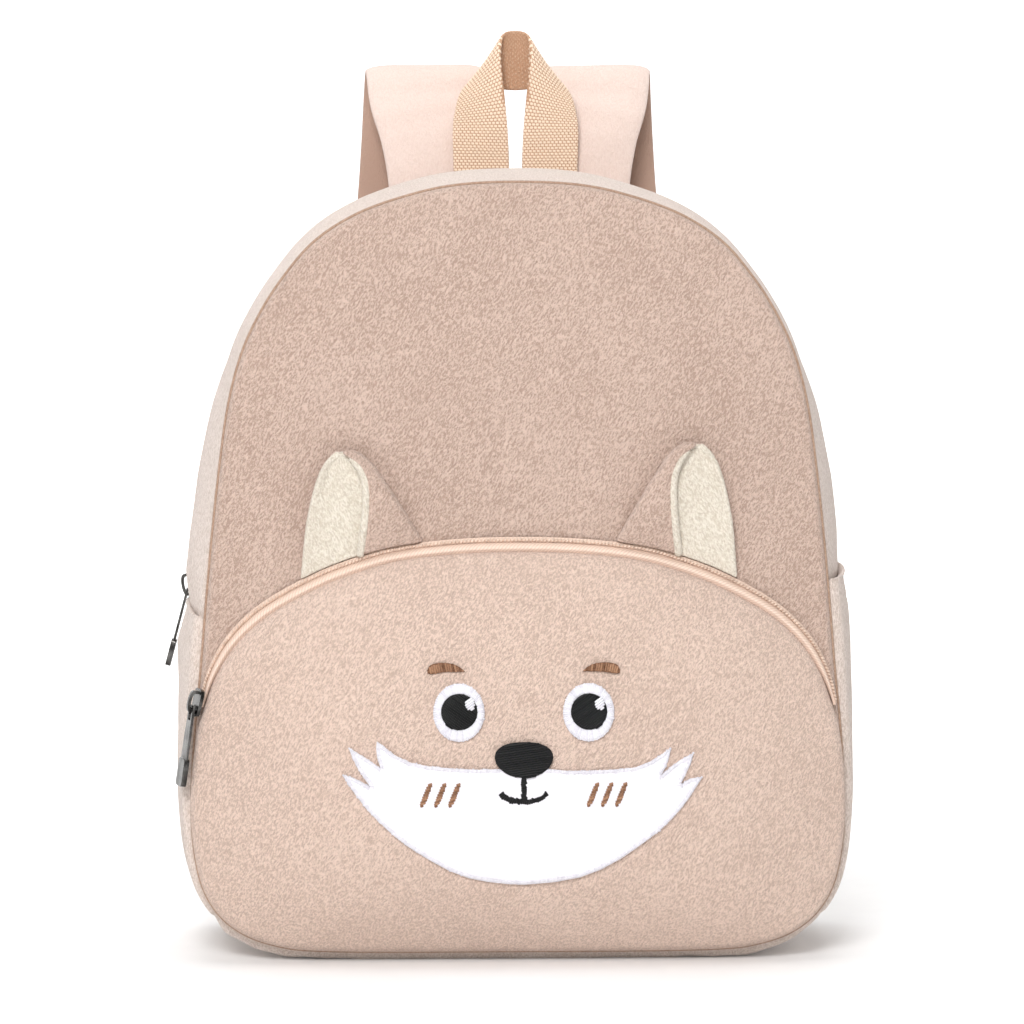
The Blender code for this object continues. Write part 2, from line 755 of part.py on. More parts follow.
def build_slider(name, placed):
    """Slider: a plate with rounded ends, flanges past the coil, and an arched bridge."""
    width, length, height = SLIDER_SIZE
    body = flat_solid(name, [rounded_box(width, length, SLIDER_CORNER)], height, "metal")
    body.data.transform(Matrix.Translation((0, 0, height / 2)))
    half = BRIDGE_SPAN / 2
    turns = np.radians(np.linspace(0, 180, 11))
    rise = abs(np.sin(turns)) ** BRIDGE_POWER
    outer = list(zip(half * np.cos(turns), BRIDGE_HEIGHT * rise))
    inner_half = half - BRIDGE_WIRE
    inner_top = BRIDGE_HEIGHT - BRIDGE_WIRE
    inner = list(zip(inner_half * np.cos(turns), inner_top * rise))
    foot = [(half, -BRIDGE_SINK), *outer, (-half, -BRIDGE_SINK), (-inner_half, -BRIDGE_SINK)]
    outline = [*foot, *inner[::-1], (inner_half, -BRIDGE_SINK)]
    bridge = flat_solid("bridge", [outline], BRIDGE_WIDTH, "metal")
    upright = Matrix(((0, 0, 1), (1, 0, 0), (0, 1, 0))).to_4x4()
    bridge.data.transform(Matrix.Translation((0, 0, height)) @ upright)
    join_bodies(body, bridge)
    body.matrix_world = placed
    return body


def build_tab(name, placed):
    """Pull tab: a thin plate with a slot that the bridge passes through, and a thicker grip."""
    bar = TAB_THICKNESS / 2
    head = bar - TAB_LENGTH
    grip_width, grip_length, grip_thickness = TAB_GRIP
    half_head = TAB_HEAD_WIDTH / 2
    half = TAB_WIDTH / 2
    neck = -TAB_NECK[0]
    shoulder = neck - TAB_NECK[1]
    plate = [
        (half_head, bar),
        (-half_head, bar),
        (-half_head, neck),
        (-half, shoulder),
        (-half, head),
        (half, head),
        (half, shoulder),
        (half_head, neck),
    ]
    slot_width, slot_length = TAB_SLOT
    slot_at = (0, -bar - slot_length / 2)
    slot = rounded_box(slot_width, slot_length, TAB_SLOT_CORNER, slot_at, 2)
    body = flat_solid(name, [plate, slot], TAB_THICKNESS, "metal")
    grip_at = (0, head + grip_length / 2 - TAB_GRIP_BEYOND)
    outline = rounded_box(grip_width, grip_length, TAB_GRIP_CORNER, grip_at)
    grip = flat_solid("grip", [outline], grip_thickness, "metal")
    join_bodies(body, grip)
    body.matrix_world = placed
    return body


def build_pull(slider_name, tab_name, placed, lean):
    """A slider on its zip and the tab on its bridge, hanging outwards by the lean."""
    build_slider(slider_name, placed)
    hinge = placed @ Vector((0, TAB_AXIS_ALONG, SLIDER_SIZE[2] + TAB_AXIS_OFF))
    axis = placed.to_3x3().col[0]
    upwards = Vector((math.sin(lean), 0, math.cos(lean)))
    upwards -= axis * upwards.dot(axis)
    build_tab(tab_name, frame_matrix(hinge, axis, upwards))


def build_pulls():
    """Both zips' sliders and tabs, near the left ends of the zips."""
    part = -part_at_height(MAIN_SLIDER_HEIGHT)
    middle = (ZIP_FRONT_Y + ZIP_REAR_Y) / 2
    lift = COIL_RISE - ZIP_SINK + GAP
    surface = gusset_grid([part, part + 0.01], [middle], lift)[:, 0]
    placed = frame_matrix(surface[0], (0, -1, 0), surface[1] - surface[0])
    build_pull("main_zip_slider", "main_zip_tab", placed, MAIN_TAB_LEAN)

    part = -part_at_height(POCKET_SLIDER_HEIGHT, ARC_HALF)
    place, facing = outline_at(part, ARC_HALF)
    x, z = (place[0] + facing[0] * POCKET_SLIDER_OUT)[:, None]
    along = (math.sin(POCKET_SLIDER_LEAN), 0, math.cos(POCKET_SLIDER_LEAN))
    origin = (x[0], front_panel_y(x, z)[0] - POCKET_SLIDER_OFF, z[0])
    across = (math.sin(POCKET_SLIDER_TURN), -math.cos(POCKET_SLIDER_TURN), 0)
    placed = frame_matrix(origin, across, along)
    build_pull("pocket_zip_slider", "pocket_zip_tab", placed, POCKET_TAB_LEAN)


def build_strap(side):
    """A padded strap, with the webbing, adjuster and sewn tab that hold its lower end."""
    sign = SIDES[side]
    rows = np.array(STRAP_ROWS, float) * MM
    rows[:, 0] *= sign
    path = smooth_curve(rows, 26)
    middles, widths = path[:, :3], path[:, 3]
    band(f"strap_{side}", middles, (1, 0, 0), widths, STRAP_PAD, "pale_plush", STRAP_EDGE)

    end = Vector(path[-1, :3])
    anchor = Vector((sign * ANCHOR[0], ANCHOR[1], ANCHOR[2]))
    along = (end - anchor).normalized()
    centre = end - along * ADJUSTER_BELOW_STRAP
    placed = frame_matrix(centre, (-1, 0, 0), along)
    reach_down = (centre - anchor).length

    bars = [rounded_box(*ADJUSTER_SIZE, ADJUSTER_CORNER, ADJUSTER_MIDDLE)]
    low, middle, high = ADJUSTER_BAR_AT
    for below, above in ((low, middle), (middle, high)):
        slot = (above - below) - 2 * ADJUSTER_BAR
        at = (0, (below + above) / 2)
        bars.append(rounded_box(ADJUSTER_SLOT, slot, ADJUSTER_SLOT_CORNER, at, 2))
    adjuster = flat_solid(f"adjuster_{side}", bars, 2 * ADJUSTER_BAR, "plastic")
    adjuster.matrix_world = placed

    turn_radius = ADJUSTER_BAR * math.sqrt(2) + GAP + BACK_WEBBING / 2 + WEBBING_CLEAR

    def turned(centre_at, ahead):
        """Half a turn round a bar, from behind it to in front of it."""
        return [
            (centre_at + ahead * turn_radius * math.sin(a), -turn_radius * math.cos(a))
            for a in np.radians(np.linspace(0, 180, 7))
        ]

    down = [(-reach_down - WEBBING_INTO_TAB, -turn_radius), (-reach_down / 2, -turn_radius)]
    tail = [(low, turn_radius), *((forth, turn_radius + off) for forth, off in WEBBING_TAIL)]
    loop_end = ADJUSTER_BELOW_STRAP - LOOP_BELOW_STRAP
    loop = [(loop_end, -turn_radius), *turned(high, -1), (loop_end, turn_radius)]
    runs = (
        (f"strap_webbing_{side}", [*down, *turned(middle, 1), *tail]),
        (f"strap_loop_{side}", loop),
    )
    for name, run in runs:
        points = [placed @ Vector((0, forth, off)) for forth, off in run]
        wide = placed.to_3x3() @ Vector((1, 0, 0))
        band(name, points, wide, BACK_WEBBING_WIDTH, BACK_WEBBING, "webbing")

    width, length, thickness = ANCHOR_TAB
    outline = rounded_box(width, length, ANCHOR_TAB_CORNER)
    sewn = flat_solid(f"anchor_tab_{side}", [outline], thickness, "pale_plush")
    seat = back_panel_y(np.array([anchor.x]), np.array([anchor.z]))[0] + 2 * GAP
    origin = (anchor.x, seat + thickness / 2, anchor.z)
    sewn.matrix_world = frame_matrix(origin, (-1, 0, 0), (along.x, 0, along.z))


def laid_on_pocket(name, outline, finish, layer=0):
    """A patch of thread or cloth with this outline, laid on the pocket over lower layers."""
    outline = np.array(outline, float) * MM
    outline[:, 0] += FACE_SHIFT
    work = bmesh.new()
    corners = [work.verts.new((x, 0.0, z)) for x, z in outline]
    work.faces.new(corners)
    work.normal_update()
    bmesh.ops.triangulate(work, faces=work.faces)
    low, high = outline.min(axis=0), outline.max(axis=0)
    for axis, normal in enumerate(((1, 0, 0), (0, 0, 1))):
        for step in range(math.floor(low[axis] / FACE_CELL), math.ceil(high[axis] / FACE_CELL)):
            everything = work.verts[:] + work.edges[:] + work.faces[:]
            point = Vector(normal) * (step + 0.5) * FACE_CELL
            bmesh.ops.bisect_plane(work, geom=everything, dist=1e-7, plane_co=point, plane_no=normal)
    bmesh.ops.remove_doubles(work, verts=work.verts, dist=FACE_MERGE)
    for vert in work.verts:
        surface = float(pocket_y(vert.co.x, vert.co.z))
        vert.co.y = surface - FACE_STAND - layer * (THREAD + FACE_STAND)
    bmesh.ops.recalc_face_normals(work, faces=work.faces)
    mesh = bpy.data.meshes.new(name)
    work.to_mesh(mesh)
    work.free()
    if mesh.polygons[0].normal.y > 0:
        mesh.flip_normals()
    thing = bpy.data.objects.new(name, mesh)
    mesh.materials.append(material(finish))
    PARTS.objects.link(thing)
    return thicken(thing, THREAD, 1.0, even=False)


def oval(centre, size, count=24, power=1.0, top_wide=0.0):
    """An oval outline. top_wide widens its upper half and narrows its lower one."""
    turn = np.linspace(0, 2 * math.pi, count, endpoint=False)
    x, z = np.sin(turn), np.cos(turn)
    x = np.sign(x) * abs(x) ** power * (1 + top_wide * z)
    return np.stack([centre[0] + x * size[0] / 2, centre[1] + z * size[1] / 2], axis=1)


def stroke(rows, width, count):
    """A line of even width with round ends."""
    path = smooth_curve(rows, count)
    along = np.gradient(path, axis=0)
    along /= np.linalg.norm(along, axis=1)[:, None]
    beside = np.stack([-along[:, 1], along[:, 0]], axis=1) * width / 2
    ends = []
    for place, forward, side in ((path[-1], along[-1], beside[-1]), (path[0], -along[0], -beside[0])):
        for angle in np.radians((60, 0, -60)):
            ends.append(place + side * math.sin(angle) + forward * width / 2 * math.cos(angle))
    return np.vstack([path + beside, ends[:3], (path - beside)[::-1], ends[3:]])


def build_face():
    """Muzzle patch, eyes, nose, mouth, brows and cheek marks on the front pocket."""
    half = np.array(MUZZLE_ROWS, float)
    whole = np.vstack([half, half[-2:0:-1] * np.array((-1, 1))])
    laid_on_pocket("muzzle", whole, "white_thread")
    for side, sign in SIDES.items():
        x, z = EYE_AT
        pupil = (sign * x + PUPIL_SHIFT[0], z + PUPIL_SHIFT[1])
        laid_on_pocket(f"eye_{side}", oval((sign * x, z), EYE_SIZE, 22), "white_thread")
        round_size = (2 * PUPIL_RADIUS, 2 * PUPIL_RADIUS)
        laid_on_pocket(f"pupil_{side}", oval(pupil, round_size, 20), "black_thread", 1)

        x, z = BROW_AT
        width, height = BROW_SIZE
        arch = np.array((-1, -0.85, -0.6, -0.2, 0.2, 0.6, 0.86, 0.96, 1))
        base = z - height / 2
        inward = (1 - arch) / 2
        slow, blunt = BROW_TAPERS
        top = base + height * (1 - inward**slow) * (1 - (1 - inward) ** blunt) ** 0.5
        upper = np.stack([x + arch * width / 2, top], axis=1)
        back = np.array((0.6, 0, -0.6))
        lower = np.stack([x + back * width / 2, base + BROW_HOLLOW * (1 - back**2)], axis=1)
        brow = np.vstack([upper, lower]) * np.array((sign, 1))
        laid_on_pocket(f"brow_{side}", brow, "brown_thread")

        lean = math.tan(CHEEK_MARK_LEAN)
        width, length = CHEEK_MARK_SIZE
        reach_up = (length - width) / 2
        for number, across in enumerate(CHEEK_MARKS_AT, 1):
            low, high = CHEEK_MARK_HEIGHT - reach_up, CHEEK_MARK_HEIGHT + reach_up
            ends = ((sign * across - reach_up * lean, low), (sign * across + reach_up * lean, high))
            name = f"cheek_mark_{side}_{number}"
            laid_on_pocket(name, stroke(ends, width, 3), "brown_thread", 1)

    nose = oval((0, NOSE_AT), NOSE_SIZE, 24, NOSE_POWER, NOSE_TOP_WIDE)
    laid_on_pocket("nose", nose, "black_thread", 1)
    mouth = stroke(MOUTH_ROWS, MOUTH_STROKE, 13)
    half_line = MOUTH_STROKE / 2
    middle = int(np.argmin(abs(mouth[:13, 0])))
    line = [(-half_line, mouth[middle - 1][1]), (-half_line, PHILTRUM_TOP)]
    line += [(half_line, PHILTRUM_TOP), (half_line, mouth[middle + 1][1])]
    joined = np.vstack([mouth[:middle], line, mouth[middle + 1 :]])
    laid_on_pocket("mouth", joined, "black_thread", 1)


clear_scene()
PARTS = collection("kids_animal_backpack")
build_bag()
build_front_pocket()
for pocket_side in SIDES:
    build_side_pocket(f"side_pocket_{pocket_side}", pocket_side)
    build_ear(pocket_side)
    build_strap(pocket_side)
build_handle()
build_pulls()
build_face()
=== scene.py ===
import logging
import math
from dataclasses import dataclass, field, replace
from enum import Enum
from typing import Callable

import bmesh
import bpy
import numpy as np
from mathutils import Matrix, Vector


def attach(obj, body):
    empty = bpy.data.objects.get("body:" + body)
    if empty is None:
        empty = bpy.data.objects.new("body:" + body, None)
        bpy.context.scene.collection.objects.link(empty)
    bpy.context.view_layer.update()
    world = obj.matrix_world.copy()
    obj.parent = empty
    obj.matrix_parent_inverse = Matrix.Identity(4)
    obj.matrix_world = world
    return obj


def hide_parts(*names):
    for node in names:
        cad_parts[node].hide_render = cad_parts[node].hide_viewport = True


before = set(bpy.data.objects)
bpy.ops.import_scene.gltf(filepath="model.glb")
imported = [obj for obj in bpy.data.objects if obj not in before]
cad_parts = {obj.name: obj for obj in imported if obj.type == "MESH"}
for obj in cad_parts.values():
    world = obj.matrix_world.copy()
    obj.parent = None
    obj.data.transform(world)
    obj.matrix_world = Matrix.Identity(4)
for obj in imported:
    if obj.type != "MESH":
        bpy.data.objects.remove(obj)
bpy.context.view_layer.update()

# Small child's plush backpack with an animal face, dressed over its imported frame. Metres, +Z up,
# front towards -Y, origin in the middle of the flat base. Tables of rows are in millimetres.

LOG = logging.getLogger("backpack")
Array = np.ndarray
Piece = bpy.types.Object
MM = 0.001
GAP = 0.3 * MM
MIDDLE = (0.0, 0.0, 0.14)
POCKET_MIDDLE = (0.0, 0.0, 0.07)
SPAN_STEPS = 24
OUTLINE_POINTS = 400
ARC_POINTS = 200


class Side(Enum):
    """Side of the bag as someone looking at its front sees it."""

    LEFT = "left"
    RIGHT = "right"

    @property
    def sign(self) -> int:
        """Direction along X: -1 for the left, 1 for the right."""
        return -1 if self is Side.LEFT else 1


# ---------------------------------------------------------------- curves and outlines


def smooth_curve(rows: Array, count: int, ends: tuple | None = None) -> Array:
    """Catmull-Rom curve through rows, resampled to even steps along its length.

    Args:
        rows: control rows, one point each; further columns are carried along.
        count: number of points wanted.
        ends: rows beyond the first and the last, or None to carry on straight.

    Returns:
        Array of count rows.
    """
    rows = np.array(rows, float)
    before, after = ends or (2 * rows[0] - rows[1], 2 * rows[-1] - rows[-2])
    knots = np.vstack([before, rows, after])
    a, b, c, d = knots[:-3, None], knots[1:-2, None], knots[2:-1, None], knots[3:, None]
    t = np.linspace(0, 1, SPAN_STEPS, endpoint=False)[None, :, None]
    square, cubic = 2 * a - 5 * b + 4 * c - d, 3 * b - a - 3 * c + d
    dense = 0.5 * (2 * b + (c - a) * t + square * t**2 + cubic * t**3)
    dense = np.vstack([dense.reshape(-1, rows.shape[1]), rows[-1:]])
    run = run_along(dense[:, :3])
    return sampled(np.linspace(0, run[-1], count), run, dense)


def run_along(path: Array) -> Array:
    """Distance along a polyline at each of its points."""
    return np.r_[0, np.cumsum(np.linalg.norm(np.diff(path, axis=0), axis=1))]


def sampled(at: Array, run: Array, table: Array) -> Array:
    """Rows of a table, read at places along its run."""
    return np.stack([np.interp(at, run, column) for column in table.T], axis=1)


def length_of(path: Array) -> float:
    """Length of a polyline."""
    return float(np.linalg.norm(np.diff(path, axis=0), axis=1).sum())


def around(count: int) -> Array:
    """Angles of a full turn, in even steps."""
    return np.linspace(0, 2 * math.pi, count, endpoint=False)


def half_wave(count: int) -> Array:
    """Half a sine wave: 0 at both ends and 1 in the middle."""
    return np.sin(np.linspace(0, math.pi, count))


def eased(low: float, high: float, count: int) -> Array:
    """Values from low to high, closer together towards both ends."""
    return low + (high - low) * (1 - np.cos(np.linspace(0, math.pi, count))) / 2


def hump(distance: Array | float, width: float) -> Array | float:
    """Bell curve: 1 where the distance is 0, and 0.37 where it is the width."""
    return np.exp(-((distance / width) ** 2))


def signed_power(values: Array, power: float) -> Array:
    """Values raised to a power, with their signs kept."""
    return np.sign(values) * abs(values) ** power


def unit(vectors: Array) -> Array:
    """Vectors of length one, along the last axis."""
    return vectors / np.linalg.norm(vectors, axis=-1, keepdims=True)


@dataclass(frozen=True)
class Outline:
    """Half outline from its top to the middle of its base, mirrored at X = 0."""

    half: Array
    centre: tuple[float, float]

    @classmethod
    def through(cls, rows: tuple, centre: tuple[float, float]) -> "Outline":
        """Outline through rows in mm that meets its mirror image without a corner."""
        rows = np.array(rows, float)
        flip = np.array([-1.0, 1.0])
        ends = (rows[1] * flip, rows[-2] * flip)
        half = smooth_curve(rows, OUTLINE_POINTS, ends) * MM
        return cls(half, centre)

    def at(self, part: Array) -> tuple[Array, Array]:
        """Points and outward normals; part is 0 at the top and -1 or 1 at the base.

        Args:
            part: places along the outline.

        Returns:
            Points and normals, both as (x, z) rows.
        """
        part = np.atleast_1d(np.asarray(part, float))
        spread = np.linspace(0, 1, len(self.half))
        slope = np.gradient(self.half, spread, axis=0)
        normal = unit(np.stack([-slope[:, 1], slope[:, 0]], axis=1))
        side = np.where(part < 0, -1.0, 1.0)[:, None] * np.array([1, 0]) + np.array([0, 1.0])
        found = [
            np.stack([np.interp(abs(part), spread, grid[:, k]) for k in (0, 1)], axis=1) * side
            for grid in (self.half, normal)
        ]
        return found[0], found[1]

    def part_at_height(self, height: float) -> float:
        """How far down the half a height lies, from 0 to 1."""
        return float(np.interp(-height, -self.half[:, 1], np.linspace(0, 1, len(self.half))))

    def reach(self, x: Array, z: Array) -> Array:
        """Distance from the centre as a part of the way to the outline, for each point."""
        ring = self.half - np.array(self.centre)
        angle, radius = np.arctan2(ring[:, 0], ring[:, 1]), np.hypot(ring[:, 0], ring[:, 1])
        dx, dz = abs(x - self.centre[0]), z - self.centre[1]
        return np.hypot(dx, dz) / np.interp(np.arctan2(dx, dz), angle, radius)


# Half width and height of the bag's seam, from the middle of its top to the middle of its base.
SEAM_ROWS = (
    *((0, 279), (22, 277.9), (40, 274), (58, 267.4), (73, 257.6), (84.5, 244.2), (92.8, 231)),
    *((99, 217), (103.6, 199), (106.6, 178), (109.3, 154), (111.6, 129), (113.6, 105), (116, 80)),
    *((117, 58), (115.8, 38), (111.6, 23.4), (102.5, 12.6), (88, 6.2), (66, 3.8), (0, 3.5)),
)
# The same for the arc of the pocket's zip. The pocket's lower edge follows the bag's seam.
POCKET_ARC_ROWS = (
    *((0, 147.5), (22, 146.8), (43, 144.3), (57, 140.4), (71, 134.9), (86, 126.8), (95, 120)),
    *((102.3, 112), (107.6, 103), (111, 94), (114.4, 82)),
)
ARC_ENDS = ((-22, 146.8), (116.4, 70))
POCKET_CENTRE = (0.0, 74 * MM)


@dataclass(frozen=True)
class BagShape:
    """The bag's outlines and the surfaces that its panels and its pocket follow."""

    front_seam_y: float = -42 * MM
    back_seam_y: float = 44 * MM
    plush: float = 2.5 * MM
    front_crown: float = 6 * MM
    back_crown: float = 2 * MM
    crown_power: float = 2.4
    pocket_front_y: float = -67.5 * MM
    pocket_seam_y: float = -47.6 * MM
    pocket_rise: float = 5.6 * MM
    pocket_rises: tuple[float, float] = (44 * MM, 92 * MM)
    pocket_crown_power: float = 2.8
    swell_rows: tuple = (
        # height, swell of the gusset at half its depth
        *((0, 6.2), (4, 6.2), (13, 2.4), (30, 0.2), (60, -1), (96, -0.6), (112, 1.4), (126, 5)),
        *((138, 8.2), (152, 9), (172, 8.6), (199, 6.5), (214, 4.8), (258, 4.4), (279, 5.6)),
    )
    seam: Outline = Outline.through(SEAM_ROWS, (0.0, 140 * MM))
    pocket: Outline = Outline.through((*POCKET_ARC_ROWS, *SEAM_ROWS[14:]), POCKET_CENTRE)
    arc: Outline = Outline(smooth_curve(POCKET_ARC_ROWS, ARC_POINTS, ARC_ENDS) * MM, POCKET_CENTRE)

    def front_panel_y(self, x: Array, z: Array) -> Array:
        """Front panel's face: a dome of the power 2.4 over the seam's plane."""
        part = np.minimum(self.seam.reach(x, z), 1.0)
        rim = self.front_seam_y - GAP - self.plush
        return rim - self.front_crown * (1 - part**self.crown_power)

    def back_panel_y(self, x: Array, z: Array) -> Array:
        """Back panel's face: the same dome, shallower and facing back."""
        part = np.minimum(self.seam.reach(x, z), 1.0)
        rim = self.back_seam_y + GAP + self.plush
        return rim + self.back_crown * (1 - part**self.crown_power)

    def pocket_rim_y(self, x: Array, z: Array) -> Array:
        """Pocket's edge: raised on the zip's arc, low on the bag's seam, blended smoothly."""
        raised = self.front_panel_y(x, z) - self.pocket_rise
        low, high = self.pocket_rises
        blend = np.clip((z - low) / (high - low), 0, 1)
        blend = blend * blend * (3 - 2 * blend)
        return self.pocket_seam_y + blend * (raised - self.pocket_seam_y)

    def pocket_y(self, x: Array, z: Array) -> Array:
        """Pocket's face: a full dome from its edge to its front."""
        x, z = np.asarray(x, float), np.asarray(z, float)
        centre = self.pocket.centre
        part = np.clip(self.pocket.reach(x, z), 1e-6, 1.0)
        rim = self.pocket_rim_y(
            centre[0] + (x - centre[0]) / part, centre[1] + (z - centre[1]) / part
        )
        return self.pocket_front_y + part**self.pocket_crown_power * (rim - self.pocket_front_y)

    def gusset(self, parts: Array, depths: Array, lift: Array | float = 0.0) -> Array:
        """Surface round the side: the outline at each depth, swollen in a parabola between seams.

        Args:
            parts: places along the seam's outline.
            depths: Y of each column.
            lift: how far each column stands off the surface.

        Returns:
            Points as a grid of parts by depths.
        """
        place, facing = self.seam.at(parts)
        depths = np.asarray(depths, float)
        heights, swells = np.array(self.swell_rows, float).T * MM
        across = (depths - self.front_seam_y) / (self.back_seam_y - self.front_seam_y)
        swell = np.interp(place[:, 1], heights, swells)[:, None]
        out = swell * (4 * across * (1 - across))[None, :] + lift
        x = place[:, :1] + facing[:, :1] * out
        z = np.maximum(place[:, 1:] + facing[:, 1:] * out, 0.0)
        return np.stack([x, np.broadcast_to(depths, x.shape), z], axis=2)


SHAPE = BagShape()


# ---------------------------------------------------------------- meshes from arrays


def quads(rows: int, columns: int, ring: bool = False, loop: bool = False) -> Array:
    """Corner indices of a grid's quads; a ring joins the last column to the first.

    Args:
        rows: rows of points.
        columns: columns of points.
        ring: whether the columns close.
        loop: whether the rows close too.

    Returns:
        Array of four indices a face.
    """
    i = np.arange(rows if loop else rows - 1)[:, None]
    j = np.arange(columns if ring else columns - 1)[None, :]
    k = (j + 1) % columns
    here, ahead = i * columns, (i + 1) % rows * columns
    return np.stack([here + j, here + k, ahead + k, ahead + j], axis=-1).reshape(-1, 4)


def mesh_piece(name: str, points: Array, faces: list | Array, uv: Array | None = None) -> Piece:
    """Smooth-shaded object from points and faces.

    Args:
        name: the piece's name.
        points: any array of XYZ, taken in row order.
        faces: corner indices.
        uv: surface coordinates of each point in metres, or None.

    Returns:
        The object, linked to the scene.
    """
    mesh = bpy.data.meshes.new(name)
    mesh.from_pydata(np.ascontiguousarray(points).reshape(-1, 3), [], faces)
    if uv is not None:
        corners = np.empty(len(mesh.loops), np.int32)
        mesh.loops.foreach_get("vertex_index", corners)
        layer = mesh.uv_layers.new(name="surface")
        layer.data.foreach_set("uv", uv.reshape(-1, 2)[corners].astype(np.float32).ravel())
    mesh.update()
    mesh.shade_smooth()
    return linked(name, mesh)


def linked(name: str, data: bpy.types.ID) -> Piece:
    """Object that holds some data, linked to the scene."""
    thing = bpy.data.objects.new(name, data)
    bpy.context.scene.collection.objects.link(thing)
    return thing


def face_away(piece: Piece, centre: tuple[float, float, float] = MIDDLE) -> Piece:
    """Turns an open surface so that its faces look away from a point inside it."""
    mesh = piece.data
    normals, middles = np.empty(len(mesh.polygons) * 3), np.empty(len(mesh.polygons) * 3)
    mesh.polygons.foreach_get("normal", normals)
    mesh.polygons.foreach_get("center", middles)
    outwards = middles.reshape(-1, 3) - np.array(centre)
    if (normals.reshape(-1, 3) * outwards).sum() < 0:
        mesh.flip_normals()
    return piece


def face_out(piece: Piece) -> Piece:
    """Turns every closed shell of a mesh outwards."""
    work = bmesh.new()
    work.from_mesh(piece.data)
    bmesh.ops.recalc_face_normals(work, faces=work.faces)
    work.to_mesh(piece.data)
    work.free()
    return piece


def mark(piece: Piece, name: str, values: Array) -> Piece:
    """Stores one number a point, which the finish reads by its name."""
    layer = piece.data.attributes.new(name, "FLOAT", "POINT")
    layer.data.foreach_set("value", np.ascontiguousarray(values, np.float32).ravel())
    return piece


def wall(piece: Piece, thickness: float, offset: float = -1.0) -> Piece:
    """Gives an open surface a wall; an offset of -1 grows it behind the face."""
    made = piece.modifiers.new("wall", "SOLIDIFY")
    made.thickness = thickness
    made.offset = offset
    return piece


def soften(piece: Piece, levels: int = 1) -> Piece:
    """Rounds a piece with a subdivision surface."""
    made = piece.modifiers.new("soften", "SUBSURF")
    made.levels = levels
    made.render_levels = levels
    return piece


def loft(name: str, rings: Array, uv: Array | None = None) -> Piece:
    """Closed body through rings of points, with a flat cap at either end.

    Args:
        name: the piece's name.
        rings: sections by points around by XYZ.
        uv: surface coordinates of each point, or None.

    Returns:
        The object.
    """
    sections, sides = rings.shape[:2]
    faces = quads(sections, sides, ring=True).tolist()
    faces.append(list(range(sides)))
    faces.append([(sections - 1) * sides + j for j in range(sides)])
    return face_out(mesh_piece(name, rings, faces, uv))


def cord(
    name: str, line: Array, radius: Array | float, closed: bool = False, sides: int = 8
) -> Piece:
    """Round cord along a line: a circle carried at right angles to it.

    Args:
        name: the piece's name.
        line: points along its middle.
        radius: its radius, one for all or one a point.
        closed: whether the line closes.
        sides: points round it.

    Returns:
        The cord.
    """
    ahead, before = np.roll(line, -1, axis=0), np.roll(line, 1, axis=0)
    along = unit(ahead - before) if closed else unit(np.gradient(line, axis=0))
    side = unit(np.cross(along, (0.0, 1.0, 0.0)))
    off = np.cross(side, along)
    turn = around(sides)[None, :, None]
    radius = np.broadcast_to(radius, len(line))[:, None, None]
    rings = line[:, None] + radius * (np.cos(turn) * side[:, None] + np.sin(turn) * off[:, None])
    if not closed:
        return loft(name, rings)
    return face_out(mesh_piece(name, rings, quads(len(line), sides, ring=True, loop=True)))


def copies(template: Array, faces: Array, origin: Array, axes: Array) -> tuple[Array, Array]:
    """Places a small template many times: origin + axes @ point for every frame.

    Args:
        template: points of one copy.
        faces: its faces.
        origin: frames by XYZ.
        axes: frames by three directions by XYZ.

    Returns:
        Points and faces of all copies.
    """
    points = origin[:, None, :] + np.einsum("pk,nkc->npc", template, axes)
    shift = np.arange(len(origin))[:, None, None] * len(template)
    return points.reshape(-1, 3), (faces[None] + shift).reshape(-1, faces.shape[1])


@dataclass(frozen=True)
class Ripples:
    """Unevenness of soft goods: a mean of sine waves in seeded directions."""

    height: float
    length: float
    seed: int
    waves: int = 9

    def at(self, points: Array) -> Array:
        """Height of the ripples at each point."""
        rng = np.random.default_rng(self.seed)
        heading = unit(rng.normal(size=(self.waves, 3)))
        turn = 2 * math.pi / (self.length * rng.uniform(0.7, 1.6, self.waves))
        start = rng.uniform(0, 2 * math.pi, self.waves)
        swing = np.sin((points @ heading.T) * turn + start)
        return self.height * swing.sum(axis=-1) / math.sqrt(self.waves)


def rolled(distance: Array, radius: float) -> Array:
    """Drop of an edge that curves away in a quarter circle: 0 at the radius, all of it at 0."""
    inside = np.clip(radius - distance, 0, radius)
    return radius - np.sqrt(np.maximum(radius**2 - inside**2, 0))


def beside_seam(distance: Array) -> Array:
    """Strength of the puckers: none in the seam, most about 3 mm from it, none past 15 mm."""
    return hump(distance, 7 * MM) * np.clip(distance / (2 * MM), 0, 1)


# ---------------------------------------------------------------- finishes


